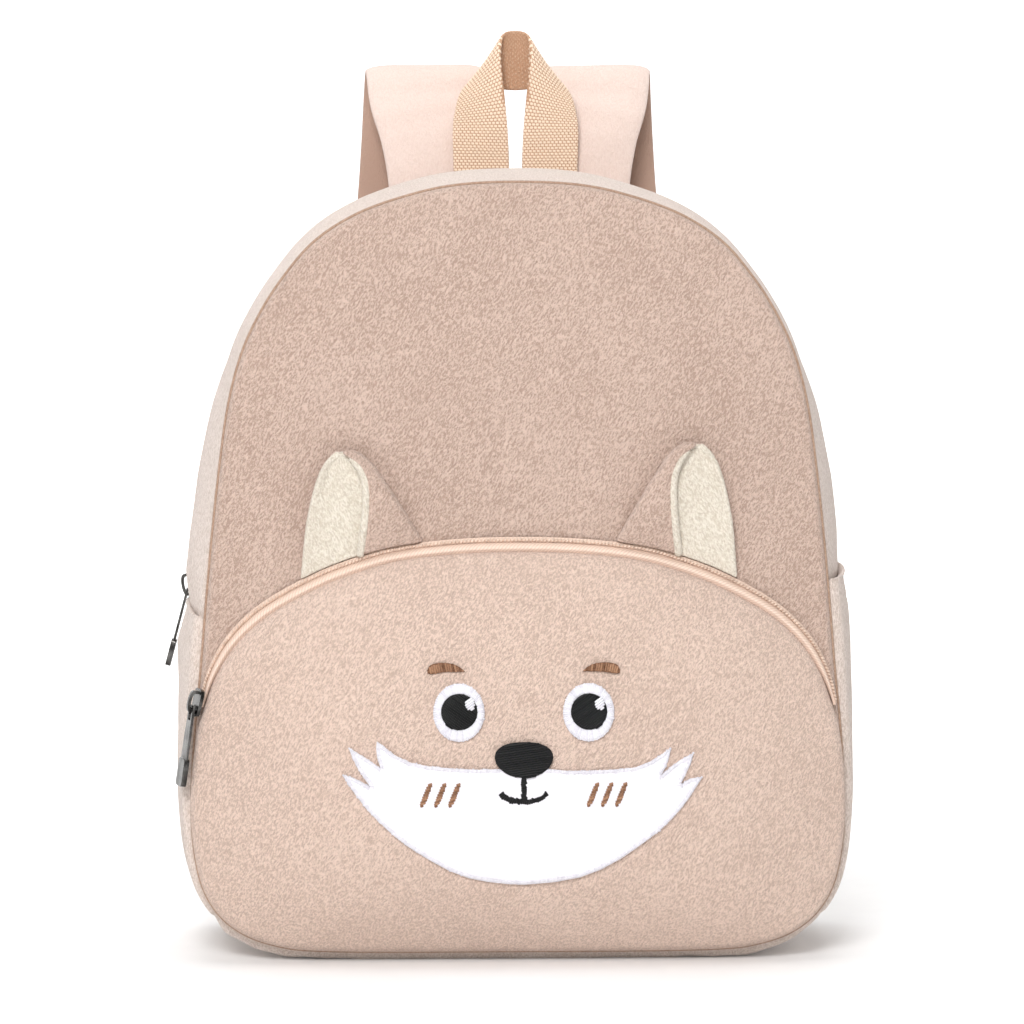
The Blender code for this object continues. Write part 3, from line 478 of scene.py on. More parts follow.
class Graph:
    """Small helper that adds and joins the nodes of one material."""

    def __init__(self, name: str) -> None:
        """Starts a material with its shader and its output."""
        self.material = bpy.data.materials.new(name)
        self.material.use_nodes = True
        self.tree = self.material.node_tree
        self.shader = self.tree.nodes["Principled BSDF"]
        self.place = self.add("ShaderNodeTexCoord").outputs["Object"]

    def add(self, kind: str, inputs: dict | None = None, **settings: object) -> bpy.types.Node:
        """Adds a node.

        Args:
            kind: its type.
            inputs: socket names or numbers, with a value or a socket each.
            settings: its properties.

        Returns:
            The node.
        """
        node = self.tree.nodes.new(kind)
        for key, value in settings.items():
            setattr(node, key, value)
        for key, value in (inputs or {}).items():
            self.feed(node.inputs[key], value)
        return node

    def feed(self, socket: bpy.types.NodeSocket, value: object) -> None:
        """Joins a socket to another, or sets it."""
        if isinstance(value, bpy.types.NodeSocket):
            self.tree.links.new(value, socket)
        else:
            socket.default_value = value

    def noise(
        self, scale: float, detail: float = 2.0, place: object = None, rough: float = 0.5
    ) -> object:
        """Value of a noise at a scale, on Object coordinates unless a place is given."""
        inputs = {"Scale": scale, "Detail": detail, "Roughness": rough}
        inputs["Vector"] = place or self.place
        return self.add("ShaderNodeTexNoise", inputs).outputs[0]

    def stretched(self, scale: tuple, turn: tuple = (0, 0, 0), source: object = None) -> object:
        """Coordinates turned and scaled by a Mapping node."""
        inputs = {"Vector": source or self.place, "Scale": scale, "Rotation": turn}
        return self.add("ShaderNodeMapping", inputs).outputs[0]

    def leaning(self, length: tuple, turn: tuple, bend: object) -> object:
        """Coordinates for a pattern drawn out along a turned axis and bent by a slow noise."""
        kind, reach = "ShaderNodeVectorMath", (0.0012, 0.0, 0.0012)
        sway = self.add(kind, {0: bend, 1: reach}, operation="MULTIPLY").outputs[0]
        swayed = self.add(kind, {0: self.place, 1: sway}, operation="ADD").outputs[0]
        inputs = {"Vector": swayed, "Scale": length, "Rotation": turn}
        return self.add("ShaderNodeMapping", inputs, vector_type="TEXTURE").outputs[0]

    def number(self, name: str) -> object:
        """The piece's own number a point."""
        return self.add("ShaderNodeAttribute", attribute_name=name).outputs["Fac"]

    def surface(self) -> object:
        """The piece's own surface coordinates."""
        return self.add("ShaderNodeUVMap", uv_map="surface").outputs[0]

    def math(self, operation: str, *values: object) -> object:
        """Result of a Math node."""
        return self.add("ShaderNodeMath", dict(enumerate(values)), operation=operation).outputs[0]

    def spread(
        self, value: object, low: float, high: float, to_low: float, to_high: float
    ) -> object:
        """Maps a value from one range to another, smoothly."""
        inputs = {"Value": value, 1: low, 2: high, 3: to_low, 4: to_high}
        node = self.add("ShaderNodeMapRange", inputs, interpolation_type="SMOOTHSTEP")
        return node.outputs[0]

    def mix(self, part: object, first: object, second: object) -> object:
        """Mix of two colours."""
        node = self.add("ShaderNodeMix", data_type="RGBA")
        for socket, value in ((0, part), (6, first), (7, second)):
            self.feed(node.inputs[socket], value)
        return node.outputs[2]

    def bump(
        self, height: object, distance: float, strength: float, under: object = None
    ) -> object:
        """Bump normal from a height, over another bump where one is given."""
        inputs = {"Height": height, "Distance": distance, "Strength": strength}
        if under is not None:
            inputs["Normal"] = under
        return self.add("ShaderNodeBump", inputs).outputs[0]

    def finish(self, colour: object, normal: object, **sockets: object) -> bpy.types.Material:
        """Joins colour and normal to the shader and sets its plain numbers."""
        self.feed(self.shader.inputs["Base Color"], colour)
        self.feed(self.shader.inputs["Normal"], normal)
        for key, value in sockets.items():
            self.feed(self.shader.inputs[key.replace("_", " ")], value)
        return self.material


def rgb(red: float, green: float, blue: float) -> tuple[float, float, float, float]:
    """Linear colour from screen values of 0 to 255."""
    values = [v / 255 for v in (red, green, blue)]
    return (*[v / 12.92 if v < 0.04045 else ((v + 0.055) / 1.055) ** 2.4 for v in values], 1.0)


@dataclass(frozen=True)
class Finish:
    """What every finish has: its name, its slot, and its lighter and darker colour."""

    name: str
    slot: str
    light: tuple
    dark: tuple

    def material(self) -> bpy.types.Material:
        """Makes the material."""
        raise NotImplementedError


@dataclass(frozen=True)
class Plush(Finish):
    """Short pile: a grain of lying tufts with painted shade between them, brushed patches painted
    lighter and darker as sheen, and a soft sheen.
    """

    lean: float = 30.0
    # patch sets the painted sheen of the brushed patches; tuft sets the painted shade between tufts
    # and their bump
    patch: float = 0.25
    tuft: float = 1.0
    sheen: float = 0.3
    # colour of the painted shade on the piece's inner side, or None
    inside: tuple | None = None

    def with_painted_inner_shade(self, inside: tuple) -> "Plush":
        """The same plush with a darker colour painted as shade on the piece's inner side."""
        return replace(self, inside=inside)

    def material(self) -> bpy.types.Material:
        """Tufts under 1 mm wide and 2 mm long that lean one way, with painted shade between them,
        over brushed patches painted lighter and darker as sheen.
        """
        g = Graph(self.name)
        patches = g.noise(24, 3, g.stretched((1.0, 1.0, 0.8)), 0.6)
        bend = g.noise(120, 2)
        lying = g.leaning((1.0, 1.0, 2.4), (0.0, math.radians(self.lean), 0.0), bend)
        tufts = g.noise(1750, 2, lying, 0.6)
        grain = g.noise(3000, 1, rough=0.6)
        height = g.math("ADD", g.math("MULTIPLY", tufts, 0.75), g.math("MULTIPLY", grain, 0.35))
        # painted shade: gaps between tufts darker, their tips lighter
        shade = g.spread(height, 0.4, 0.7, 0.5 - self.tuft * 0.7, 0.5 + self.tuft * 0.7)
        # painted sheen: patches of pile brushed different ways, lighter or darker
        brushed = g.spread(patches, 0.3, 0.7, -self.patch / 2, self.patch / 2)
        colour = g.mix(g.math("ADD", shade, brushed), self.dark, self.light)
        # painted shade: darker where the piece's own number marks its inner side
        if self.inside:
            colour = g.mix(g.number("inside"), colour, self.inside)
        coarse = g.bump(bend, 0.0014, 0.3)
        fine = g.bump(height, 0.0013 * self.tuft, 1.0, coarse)
        sheen = {"Sheen_Weight": self.sheen, "Sheen_Roughness": 0.4}
        return g.finish(colour, fine, Roughness=0.9, Specular_IOR_Level=0.12, **sheen)


@dataclass(frozen=True)
class Weave(Finish):
    """Woven cotton tape, each thread's top painted lighter and the ground between painted darker as
    shade.
    """

    def material(self) -> bpy.types.Material:
        """Yarn fuzz as streaks along the tape, over the woven relief of the mesh."""
        g = Graph(self.name)
        along = g.stretched((3200.0, 900.0, 1.0), source=g.surface())
        fuzz = g.noise(1.0, 3, along, 0.7)
        # painted shade: the weave's relief number makes thread tops lighter and the ground darker
        top = g.spread(g.number("relief"), 0.05, 0.75, 0.0, 0.85)
        shade = g.math("ADD", top, g.spread(fuzz, 0.3, 0.7, -0.12, 0.22))
        colour = g.mix(shade, self.dark, self.light)
        return g.finish(colour, g.bump(fuzz, 0.0005, 0.6), Roughness=0.85, Specular_IOR_Level=0.2)


@dataclass(frozen=True)
class Twill(Finish):
    """Zip tape: fine diagonal ribs along the surface."""

    def material(self) -> bpy.types.Material:
        """Ribs about 1 mm apart that slant across the tape."""
        g = Graph(self.name)
        turned = g.stretched((1.0, 1.0, 1.0), (0.0, 0.0, math.radians(-35)), g.surface())
        inputs = {"Vector": turned, "Scale": 285.0, "Distortion": 1.2, "Detail Scale": 2.0}
        ribs = g.add("ShaderNodeTexWave", inputs).outputs[1]
        colour = g.mix(g.spread(ribs, 0.1, 0.8, 0.45, 1.0), self.dark, self.light)
        return g.finish(colour, g.bump(ribs, 0.0002, 0.35), Roughness=0.7, Specular_IOR_Level=0.25)


@dataclass(frozen=True)
class Thread(Finish):
    """Embroidery thread or satin-like cloth, with a little gloss."""

    gloss: float = 0.45
    cloth: bool = False

    def material(self) -> bpy.types.Material:
        """Fine twist in the thread, or a smooth brushed nap where it is cloth."""
        g = Graph(self.name)
        fine = g.noise(900 if self.cloth else 1500, 2, rough=0.6)
        own = g.noise(45, 2) if self.cloth else g.number("shade")
        shade = g.math("ADD", g.spread(fine, 0.3, 0.7, 0.0, 0.35), g.math("MULTIPLY", own, 0.65))
        colour = g.mix(shade, self.dark, self.light)
        normal = g.bump(fine, 0.0003, 0.35 if self.cloth else 0.5)
        return g.finish(colour, normal, Roughness=1 - self.gloss, Specular_IOR_Level=0.3)


@dataclass(frozen=True)
class Moulded(Finish):
    """Moulded nylon: a faint mottle and a soft gloss."""

    rough: float = 0.42

    def material(self) -> bpy.types.Material:
        """Fine moulding texture under a soft gloss."""
        g = Graph(self.name)
        mottle = g.noise(400, 3)
        colour = g.mix(g.spread(mottle, 0.3, 0.7, 0.0, 1.0), self.dark, self.light)
        return g.finish(colour, g.bump(mottle, 0.0002, 0.25), Roughness=self.rough)


@dataclass(frozen=True)
class Metal(Finish):
    """Plated zinc of the zips' sliders and tabs, a little worn."""

    # colour of the painted reflection on the rims where the surface turns away
    rim: tuple = (0.5, 0.49, 0.48, 1)

    def material(self) -> bpy.types.Material:
        """Cloudy plating with fine scratches, and a lighter colour painted where the surface turns
        away, as a painted reflection.
        """
        g = Graph(self.name)
        cloud = g.noise(180, 3)
        scratch = g.noise(1.0, 2, g.stretched((900.0, 900.0, 60.0)))
        colour = g.mix(g.spread(cloud, 0.35, 0.65, 0.0, 1.0), self.dark, self.light)
        # painted reflection: grazing faces take the lighter rim colour
        facing = g.add("ShaderNodeLayerWeight", {"Blend": 0.4}).outputs["Facing"]
        colour = g.mix(g.spread(facing, 0.5, 0.95, 0.0, 1.0), colour, self.rim)
        rough = g.spread(scratch, 0.3, 0.7, 0.16, 0.3)
        normal = g.bump(scratch, 0.0001, 0.2)
        return g.finish(colour, normal, Metallic=1.0, Roughness=rough)


FINISHES = {
    finish.name: finish
    for finish in (
        Plush("panel_plush", "plush", rgb(220, 195, 181), rgb(184, 157, 142)),
        # pocket: the panel's plush painted lighter, as the extra light that falls on the pocket
        Plush("pocket_plush", "plush", rgb(236, 211, 196), rgb(202, 176, 161)),
        Plush("gusset_plush", "pale_plush", rgb(241, 226, 217), rgb(210, 192, 180), 8.0, 0.15, 0.8),
        # strap: inner side painted darker, as the shade inside its fold over the bag
        Plush("strap_plush", "pale_plush", rgb(236, 217, 208), rgb(224, 202, 191), 8.0, 0.2, 0.4)
        .with_painted_inner_shade(rgb(182, 152, 136)),
        Plush("lining_plush", "cream_plush", rgb(238, 230, 216), rgb(212, 200, 183), -25, 0.1, 0.8),
        Plush("seam_shade", "plush", rgb(198, 168, 148), rgb(164, 134, 114), 0.0, 0.0, 0.6, 0.1),
        Weave("handle_weave", "webbing", rgb(253, 233, 211), rgb(190, 148, 118)),
        Twill("tape_twill", "zip_tape", rgb(236, 211, 194), rgb(208, 180, 162)),
        Moulded("coil_nylon", "zip_tape", rgb(232, 208, 190), rgb(206, 180, 162), 0.35),
        Metal("slider_plating", "metal", (0.16, 0.154, 0.148, 1), (0.05, 0.047, 0.044, 1)),
        Moulded("adjuster_nylon", "plastic", rgb(232, 212, 198), rgb(216, 194, 178)),
        Thread("muzzle_cloth", "white_thread", rgb(243, 241, 245), rgb(231, 228, 235), 0.3, True),
        Thread("white_stitch", "white_thread", rgb(242, 241, 245), rgb(216, 213, 222)),
        Thread("edge_stitch", "white_thread", rgb(236, 234, 239), rgb(215, 212, 220)),
        Thread("black_stitch", "black_thread", rgb(28, 29, 29), rgb(4, 4, 6), 0.45),
        Thread("brown_stitch", "brown_thread", rgb(184, 141, 110), rgb(92, 56, 36)),
    )
}
MATERIALS: dict[str, bpy.types.Material] = {}


def dress(piece: Piece, finish: str, body: str = "bag", nodes: tuple[str, ...] = ()) -> Piece:
    """Gives a piece its finish, the body that it rides on and the nodes it replaces.

    Args:
        piece: the object.
        finish: name of one of FINISHES.
        body: CAD body that it moves with.
        nodes: CAD nodes that it stands for.

    Returns:
        The piece.
    """
    if finish not in MATERIALS:
        MATERIALS[finish] = FINISHES[finish].material()
    piece.data.materials.clear()
    piece.data.materials.append(MATERIALS[finish])
    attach(piece, body)
    if nodes:
        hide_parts(*nodes)
    LOG.info("%s: %d faces, rides on %s", piece.name, len(piece.data.polygons), body)
    return piece


# ---------------------------------------------------------------- bag


@dataclass
class Panel:
    """A domed cloth panel whose edge rolls back into its seam."""

    name: str
    outline: Outline
    depth: Callable[[Array, Array], Array]
    facing: int
    roll: float = 2.3 * MM
    inset: tuple = (0.3 * MM, 0.3 * MM)
    inset_heights: tuple = (84 * MM, 98 * MM)
    rings: int = 44
    segments: int = 264
    ring_power: float = 0.85
    edge_rings: int = 6
    cloth: float = 1.2 * MM
    calm: float = 25 * MM
    ripples: Ripples = Ripples(0.35 * MM, 55 * MM, 3)
    puckers: Ripples = Ripples(0.22 * MM, 9 * MM, 4)

    def build(self) -> Piece:
        """Rings of the outline drawn in to its centre; the outermost ones turn back by the roll.

        The depth is the dome's, plus slow ripples inside and short puckers near the seam.

        Returns:
            The panel, with its wall.
        """
        ring, facing = self.outline.at(np.linspace(-1, 1, self.segments, endpoint=False))
        centre = np.array(self.outline.centre)
        turn = np.linspace(0, math.pi / 2, self.edge_rings + 1)[1:]
        distance = self.roll * (1 - np.sin(turn))
        drop = self.roll * (1 - np.cos(turn))
        inset = np.interp(ring[:, 1], self.inset_heights, self.inset)[:, None]
        inner = ring - facing * (inset + self.roll)
        part = np.linspace(0, 1, self.rings + 1)[1:] ** self.ring_power
        filled = centre + part[:, None, None] * (inner - centre)
        edge = ring[None] - facing[None] * (inset[None] + distance[:, None, None])
        flat = np.concatenate([filled, edge])
        x, z = flat[..., 0], flat[..., 1]
        y = self.depth(x, z)
        back = np.r_[np.zeros(len(part)), drop][:, None]
        place = np.stack([x, np.zeros_like(x), z], axis=-1)
        from_edge = np.linalg.norm(flat - ring[None], axis=-1)
        soft = self.ripples.at(place) * np.clip(from_edge / self.calm, 0, 1)
        soft = soft + self.puckers.at(place) * beside_seam(from_edge)
        y = y - self.facing * back + self.facing * soft
        points = np.stack([x, y, z], axis=-1).reshape(-1, 3)
        pole_ripple = self.ripples.at(np.array([[centre[0], 0, centre[1]]]))[0]
        pole = self.depth(centre[:1], centre[1:])[0] + self.facing * pole_ripple
        points = np.vstack([[centre[0], pole, centre[1]], points])
        faces = (quads(len(flat), self.segments, ring=True) + 1).tolist()
        faces += [[0, 1 + (j + 1) % self.segments, 1 + j] for j in range(self.segments)]
        return wall(face_away(face_out(mesh_piece(self.name, points, faces))), self.cloth)


@dataclass
class BagBody:
    """Panels and gusset round the main compartment."""

    arch_end: float = 114 * MM
    zip_front: float = -3.7 * MM
    zip_rear: float = 7.7 * MM
    zip_edge_gap: float = 0.2 * MM
    seam_roll: float = 2.4 * MM
    seam_edges: tuple = (SHAPE.front_seam_y + 0.1 * MM, SHAPE.back_seam_y - 0.1 * MM)
    bulge: float = 2.8 * MM
    bulge_at: tuple = (3.4 * MM, 3 * MM)
    bulge_heights: tuple = (13 * MM, 26 * MM)
    swell: tuple = (2.4 * MM, 130 * MM, 17 * MM)
    pocket_foot: float = 96 * MM
    shade_cord_radius: float = 0.65 * MM
    fold: float = 1.9 * MM
    zip_roll: float = 1.3 * MM
    cloth: float = 1.4 * MM
    stitch_from_edge: float = 2.6 * MM
    stitch_dent: tuple = (0.45 * MM, 0.55 * MM)
    columns: int = 44

    def build(self) -> list[Piece]:
        """Makes and dresses the panels and the three parts of the gusset."""
        front = Panel("front_panel_plush", SHAPE.seam, SHAPE.front_panel_y, -1)
        back = Panel("back_panel_plush", SHAPE.seam, SHAPE.back_panel_y, 1)
        pieces = [
            dress(front.build(), "panel_plush", nodes=("front_panel",)),
            dress(back.build(), "gusset_plush", nodes=("back_panel",)),
        ]
        end = SHAPE.seam.part_at_height(self.arch_end)
        arch = np.linspace(-end, end, 340)
        strips = (
            ("gusset_front", self.seam_edges[0], self.zip_front - self.zip_edge_gap, False),
            ("gusset_rear", self.zip_rear + self.zip_edge_gap, self.seam_edges[1], True),
        )
        for name, low, high, seam_behind in strips:
            piece = self.strip(f"{name}_plush", arch, low, high, seam_behind)
            pieces.append(dress(piece, "gusset_plush", nodes=(name,)))
        return [*pieces, *self.seams(), self.base()]

    def seams(self) -> list[Piece]:
        """Dark cords along the seams that close their gaps and are painted as the shade in them,
        and the fold where the pocket's side meets the bag.
        """
        pieces = []
        ring = np.linspace(-1, 1, 640, endpoint=False)
        foot = SHAPE.pocket.part_at_height(self.pocket_foot)
        below = np.linspace(foot, 2 - foot, 420)
        below = np.where(below > 1, below - 2, below)
        seam, pocket = (SHAPE.seam, ring), (SHAPE.pocket, below)
        welts = (
            # name, line, depth of the seam, back from it and out in mm, radius, finish
            # the three seam cords are dark plush standing for the shade in the seams' valleys
            ("front_seam_shade_cord", seam, SHAPE.front_seam_y, -0.2, 0.25, self.shade_cord_radius, "seam_shade"),
            ("back_seam_shade_cord", seam, SHAPE.back_seam_y, 0.2, 0.25, self.shade_cord_radius, "seam_shade"),
            ("pocket_seam_shade_cord", pocket, SHAPE.pocket_seam_y, 2.6, 0.1, self.shade_cord_radius, "seam_shade"),
            ("pocket_side_fold", pocket, SHAPE.pocket_seam_y, 2.2, -1.0, self.fold, "pocket_plush"),
        )
        for name, (outline, parts), y, back, out, radius, finish in welts:
            place, facing = outline.at(parts)
            flat = place + facing * (out * MM - radius / 2)
            line = np.stack([flat[:, 0], np.full(len(flat), y + back * MM), flat[:, 1]], axis=1)
            pieces.append(dress(cord(name, line, radius, outline is SHAPE.seam), finish))
        return pieces

    def strip(self, name: str, parts: Array, low: float, high: float, seam_behind: bool) -> Piece:
        """One strip of the gusset between a seam and the zip.

        Each edge rolls in by a quarter circle, and a row of stitches dents the cloth beside the
        zip.

        Args:
            name: the piece's name.
            parts: places along the arch.
            low: its front edge.
            high: its rear edge.
            seam_behind: whether the seam is at the rear edge.

        Returns:
            The strip, with its wall.
        """
        ends = (self.zip_roll, self.seam_roll) if seam_behind else (self.seam_roll, self.zip_roll)
        zip_edge, seam_edge = (low, high) if seam_behind else (high, low)
        depths, middle = eased(low, high, self.columns), half_wave(self.columns)[None, :]
        lift = -rolled(depths - low, ends[0]) - rolled(high - depths, ends[1])
        deep, wide = self.stitch_dent
        lift = lift - deep * hump(abs(depths - zip_edge) - self.stitch_from_edge, wide)
        flat = SHAPE.gusset(parts, depths)
        soft = Ripples(0.3 * MM, 40 * MM, 7).at(flat) * middle
        if not seam_behind:
            size, height, length = self.swell
            where = hump(flat[..., 2] - height, length) * (flat[..., 0] < 0)
            soft = soft + size * where * middle**0.7
        near = beside_seam(abs(depths - seam_edge))
        pucker = Ripples(0.2 * MM, 9 * MM, 8).at(flat) * near[None, :]
        points = SHAPE.gusset(parts, depths, lift[None, :] + soft + pucker)
        return wall(face_away(mesh_piece(name, points, quads(*points.shape[:2]))), self.cloth)

    def base(self) -> Piece:
        """Lower part of the gusset, flat where it stands, behind the side pockets."""
        start = SHAPE.seam.part_at_height(self.arch_end - GAP)
        down = np.linspace(start, 1, 150)
        parts = np.r_[-down, down[-2::-1]]
        low, high = self.seam_edges
        depths = eased(low, high, 60)
        lift = -rolled(depths - low, self.seam_roll) - rolled(high - depths, self.seam_roll)
        place, _ = SHAPE.seam.at(parts)
        least, most = self.bulge_heights
        weight = np.clip((most - place[:, 1]) / (most - least), 0, 1)
        nearest = np.minimum(depths - low, high - depths)
        fold = self.bulge * hump(nearest - self.bulge_at[0], self.bulge_at[1])
        gathers = Ripples(0.14 * MM, 12 * MM, 9).at(SHAPE.gusset(parts, depths))
        lift = lift[None, :] + weight[:, None] * fold[None, :] * (1 + gathers / MM)
        points = SHAPE.gusset(parts, depths, lift)
        piece = face_away(mesh_piece("gusset_base_plush", points, quads(*points.shape[:2])))
        return dress(wall(piece, self.cloth), "gusset_plush", nodes=("gusset_base",))


# ---------------------------------------------------------------- zips


def coil(name: str, path: Array, across: Array, pitch: float, strands: tuple, rise: float) -> Piece:
    """Coil of a zip as a row of small arched teeth.

    A tooth is a bead of five by five points: its height is the rise times the root of
    (1 - u^4)(1 - v^4), and it slants along the zip. Strands side by side are set off by half a
    pitch.

    Args:
        name: the piece's name.
        path: points along the coil's foot.
        across: direction across the zip at each of them.
        pitch: distance between teeth.
        strands: (from, to) across the zip for each strand, in metres.
        rise: height of the teeth.

    Returns:
        One mesh of all teeth.
    """
    run = run_along(path)
    count = int(run[-1] / pitch)
    points, faces, start = [], [], 0
    for number, (inner, outer) in enumerate(strands):
        at = (np.arange(count) + 0.5 + 0.5 * (number % 2)) * pitch
        at = at[at < run[-1]]
        later, earlier = (sampled(at + step, run, path) for step in (pitch / 4, -pitch / 4))
        along = unit(later - earlier)
        side = unit(sampled(at, run, across))
        axes = np.stack([along, side, unit(np.cross(along, side))], axis=1)
        v = np.array([-1, -0.75, 0, 0.75, 1.0])[:, None]
        u = np.array([-1, -0.7, 0, 0.7, 1.0])[None, :]
        slant = (0.38 * u + 0.2 * v) * pitch
        place = (inner + outer) / 2 + v * (outer - inner) / 2
        lift = rise * np.sqrt((1 - u**4) * (1 - v**4))
        template = np.stack(np.broadcast_arrays(slant, place, lift), axis=-1).reshape(-1, 3)
        made, indices = copies(template, quads(5, 5), sampled(at, run, path), axes)
        points.append(made)
        faces.append(indices + start)
        start += len(made)
    return mesh_piece(name, np.vstack(points), np.vstack(faces))


@dataclass
class MainZip:
    """Tape and coil of the main zip, in the gusset."""

    body: BagBody
    sink: float = 1.8 * MM
    coil_width: float = 4.4 * MM
    coil_rise: float = 1.5 * MM
    pitch: float = 1.35 * MM

    def build(self) -> list[Piece]:
        """Makes the sunk tape and two strands of teeth along its middle."""
        end = SHAPE.seam.part_at_height(self.body.arch_end)
        parts = np.linspace(-end, end, 500)
        low, high = self.body.zip_front - 1 * MM, self.body.zip_rear + 1 * MM
        middle = (self.body.zip_front + self.body.zip_rear) / 2
        depths = np.linspace(low, high, 15)
        under = np.exp(-((abs(depths - middle) / (self.coil_width / 2)) ** 6))
        lift = -self.sink + 0.5 * MM * under
        points = SHAPE.gusset(parts, depths, lift[None, :])
        run = np.linspace(0, length_of(points[:, 7]), len(parts))
        uv = np.stack(np.broadcast_arrays(run[:, None], depths[None, :]), axis=-1)
        tape = mesh_piece("main_zip_tape", points, quads(*points.shape[:2]), uv)
        wall(face_away(tape), 0.9 * MM)
        dress(tape, "tape_twill", nodes=("main_zip",))

        foot = SHAPE.gusset(parts, [middle], -self.sink + 0.4 * MM)[:, 0]
        across = np.tile((0.0, 1.0, 0.0), (len(parts), 1))
        half = self.coil_width / 2
        strands = ((-half, -0.1 * MM), (0.1 * MM, half))
        rise = self.coil_rise - 0.5 * MM
        teeth = face_away(coil("main_zip_teeth", foot, across, self.pitch, strands, rise))
        return [tape, dress(teeth, "coil_nylon")]


@dataclass
class FrontPocket:
    """Domed pocket with the zip that runs over its arc."""

    foot_height: float = 92 * MM
    turn: float = 0.75
    inner: float = 1.3 * MM
    tape_rows: tuple = (
        # out from the pocket's edge, off the front panel
        *((5.6, 0.9), (5.5, 1.5), (5.2, 1.9), (4.6, 2.0), (4.0, 1.9), (3.75, 1.6), (3.6, 1.9)),
        *((3.4, 2.8), (3.05, 3.8), (2.6, 4.5), (2.1, 4.9), (1.7, 4.9), (1.35, 4.6), (1.1, 4.2)),
        *((0.7, 3.8), (0.2, 3.5)),
    )
    middle: tuple = (0.0, 0.0, 0.06)
    coil_at: tuple[float, float, float] = (4.5 * MM, 2.0 * MM, 0.62 * MM)
    pitch: float = 1.3 * MM

    def build(self) -> list[Piece]:
        """Makes and dresses the pocket's shell, its zip's tape and the teeth seen beside it."""
        shell = Panel(
            "front_pocket_plush",
            SHAPE.pocket,
            SHAPE.pocket_y,
            -1,
            roll=2.4 * MM,
            inset=(0.1 * MM, -0.6 * MM),
            inset_heights=(30 * MM, 70 * MM),
            ripples=Ripples(0.3 * MM, 50 * MM, 11),
            puckers=Ripples(0.22 * MM, 10 * MM, 12),
        )
        foot = SHAPE.arc.part_at_height(self.foot_height)
        parts = np.linspace(-foot, foot, 420)
        place, facing = SHAPE.arc.at(parts)
        width = 1 - self.turn * abs(parts / foot) ** 8
        rows = np.array(self.tape_rows) * MM
        points = np.stack([self.point(place, facing, width, out, off) for out, off in rows])
        run = np.linspace(0, length_of(points[4]), len(parts))
        uv = np.stack(np.broadcast_arrays(run[None, :], run_along(rows)[:, None]), axis=-1)
        tape = mesh_piece("pocket_zip_tape", points, quads(*points.shape[:2]), uv)
        wall(face_away(tape, self.middle), 0.7 * MM)

        out, off, half = self.coil_at
        foot_line = self.point(place, facing, width, out, off)
        beside = self.point(place, facing, width, out + 0.5 * MM, off) - foot_line
        teeth = coil("pocket_zip_teeth", foot_line, beside, self.pitch, ((-half, half),), 0.9 * MM)
        face_away(teeth, self.middle)
        return [
            dress(shell.build(), "pocket_plush", nodes=("front_pocket",)),
            dress(tape, "tape_twill", nodes=("pocket_zip",)),
            dress(teeth, "coil_nylon"),
        ]

    def point(self, place: Array, facing: Array, width: Array, out: float, off: float) -> Array:
        """Line along the arc, a distance outside the pocket's edge and off the front panel."""
        beyond = (self.inner + (out - self.inner) * width)[:, None]
        x, z = (place + facing * beyond).T
        return np.stack([x, SHAPE.front_panel_y(x, z) - off, z], axis=1)


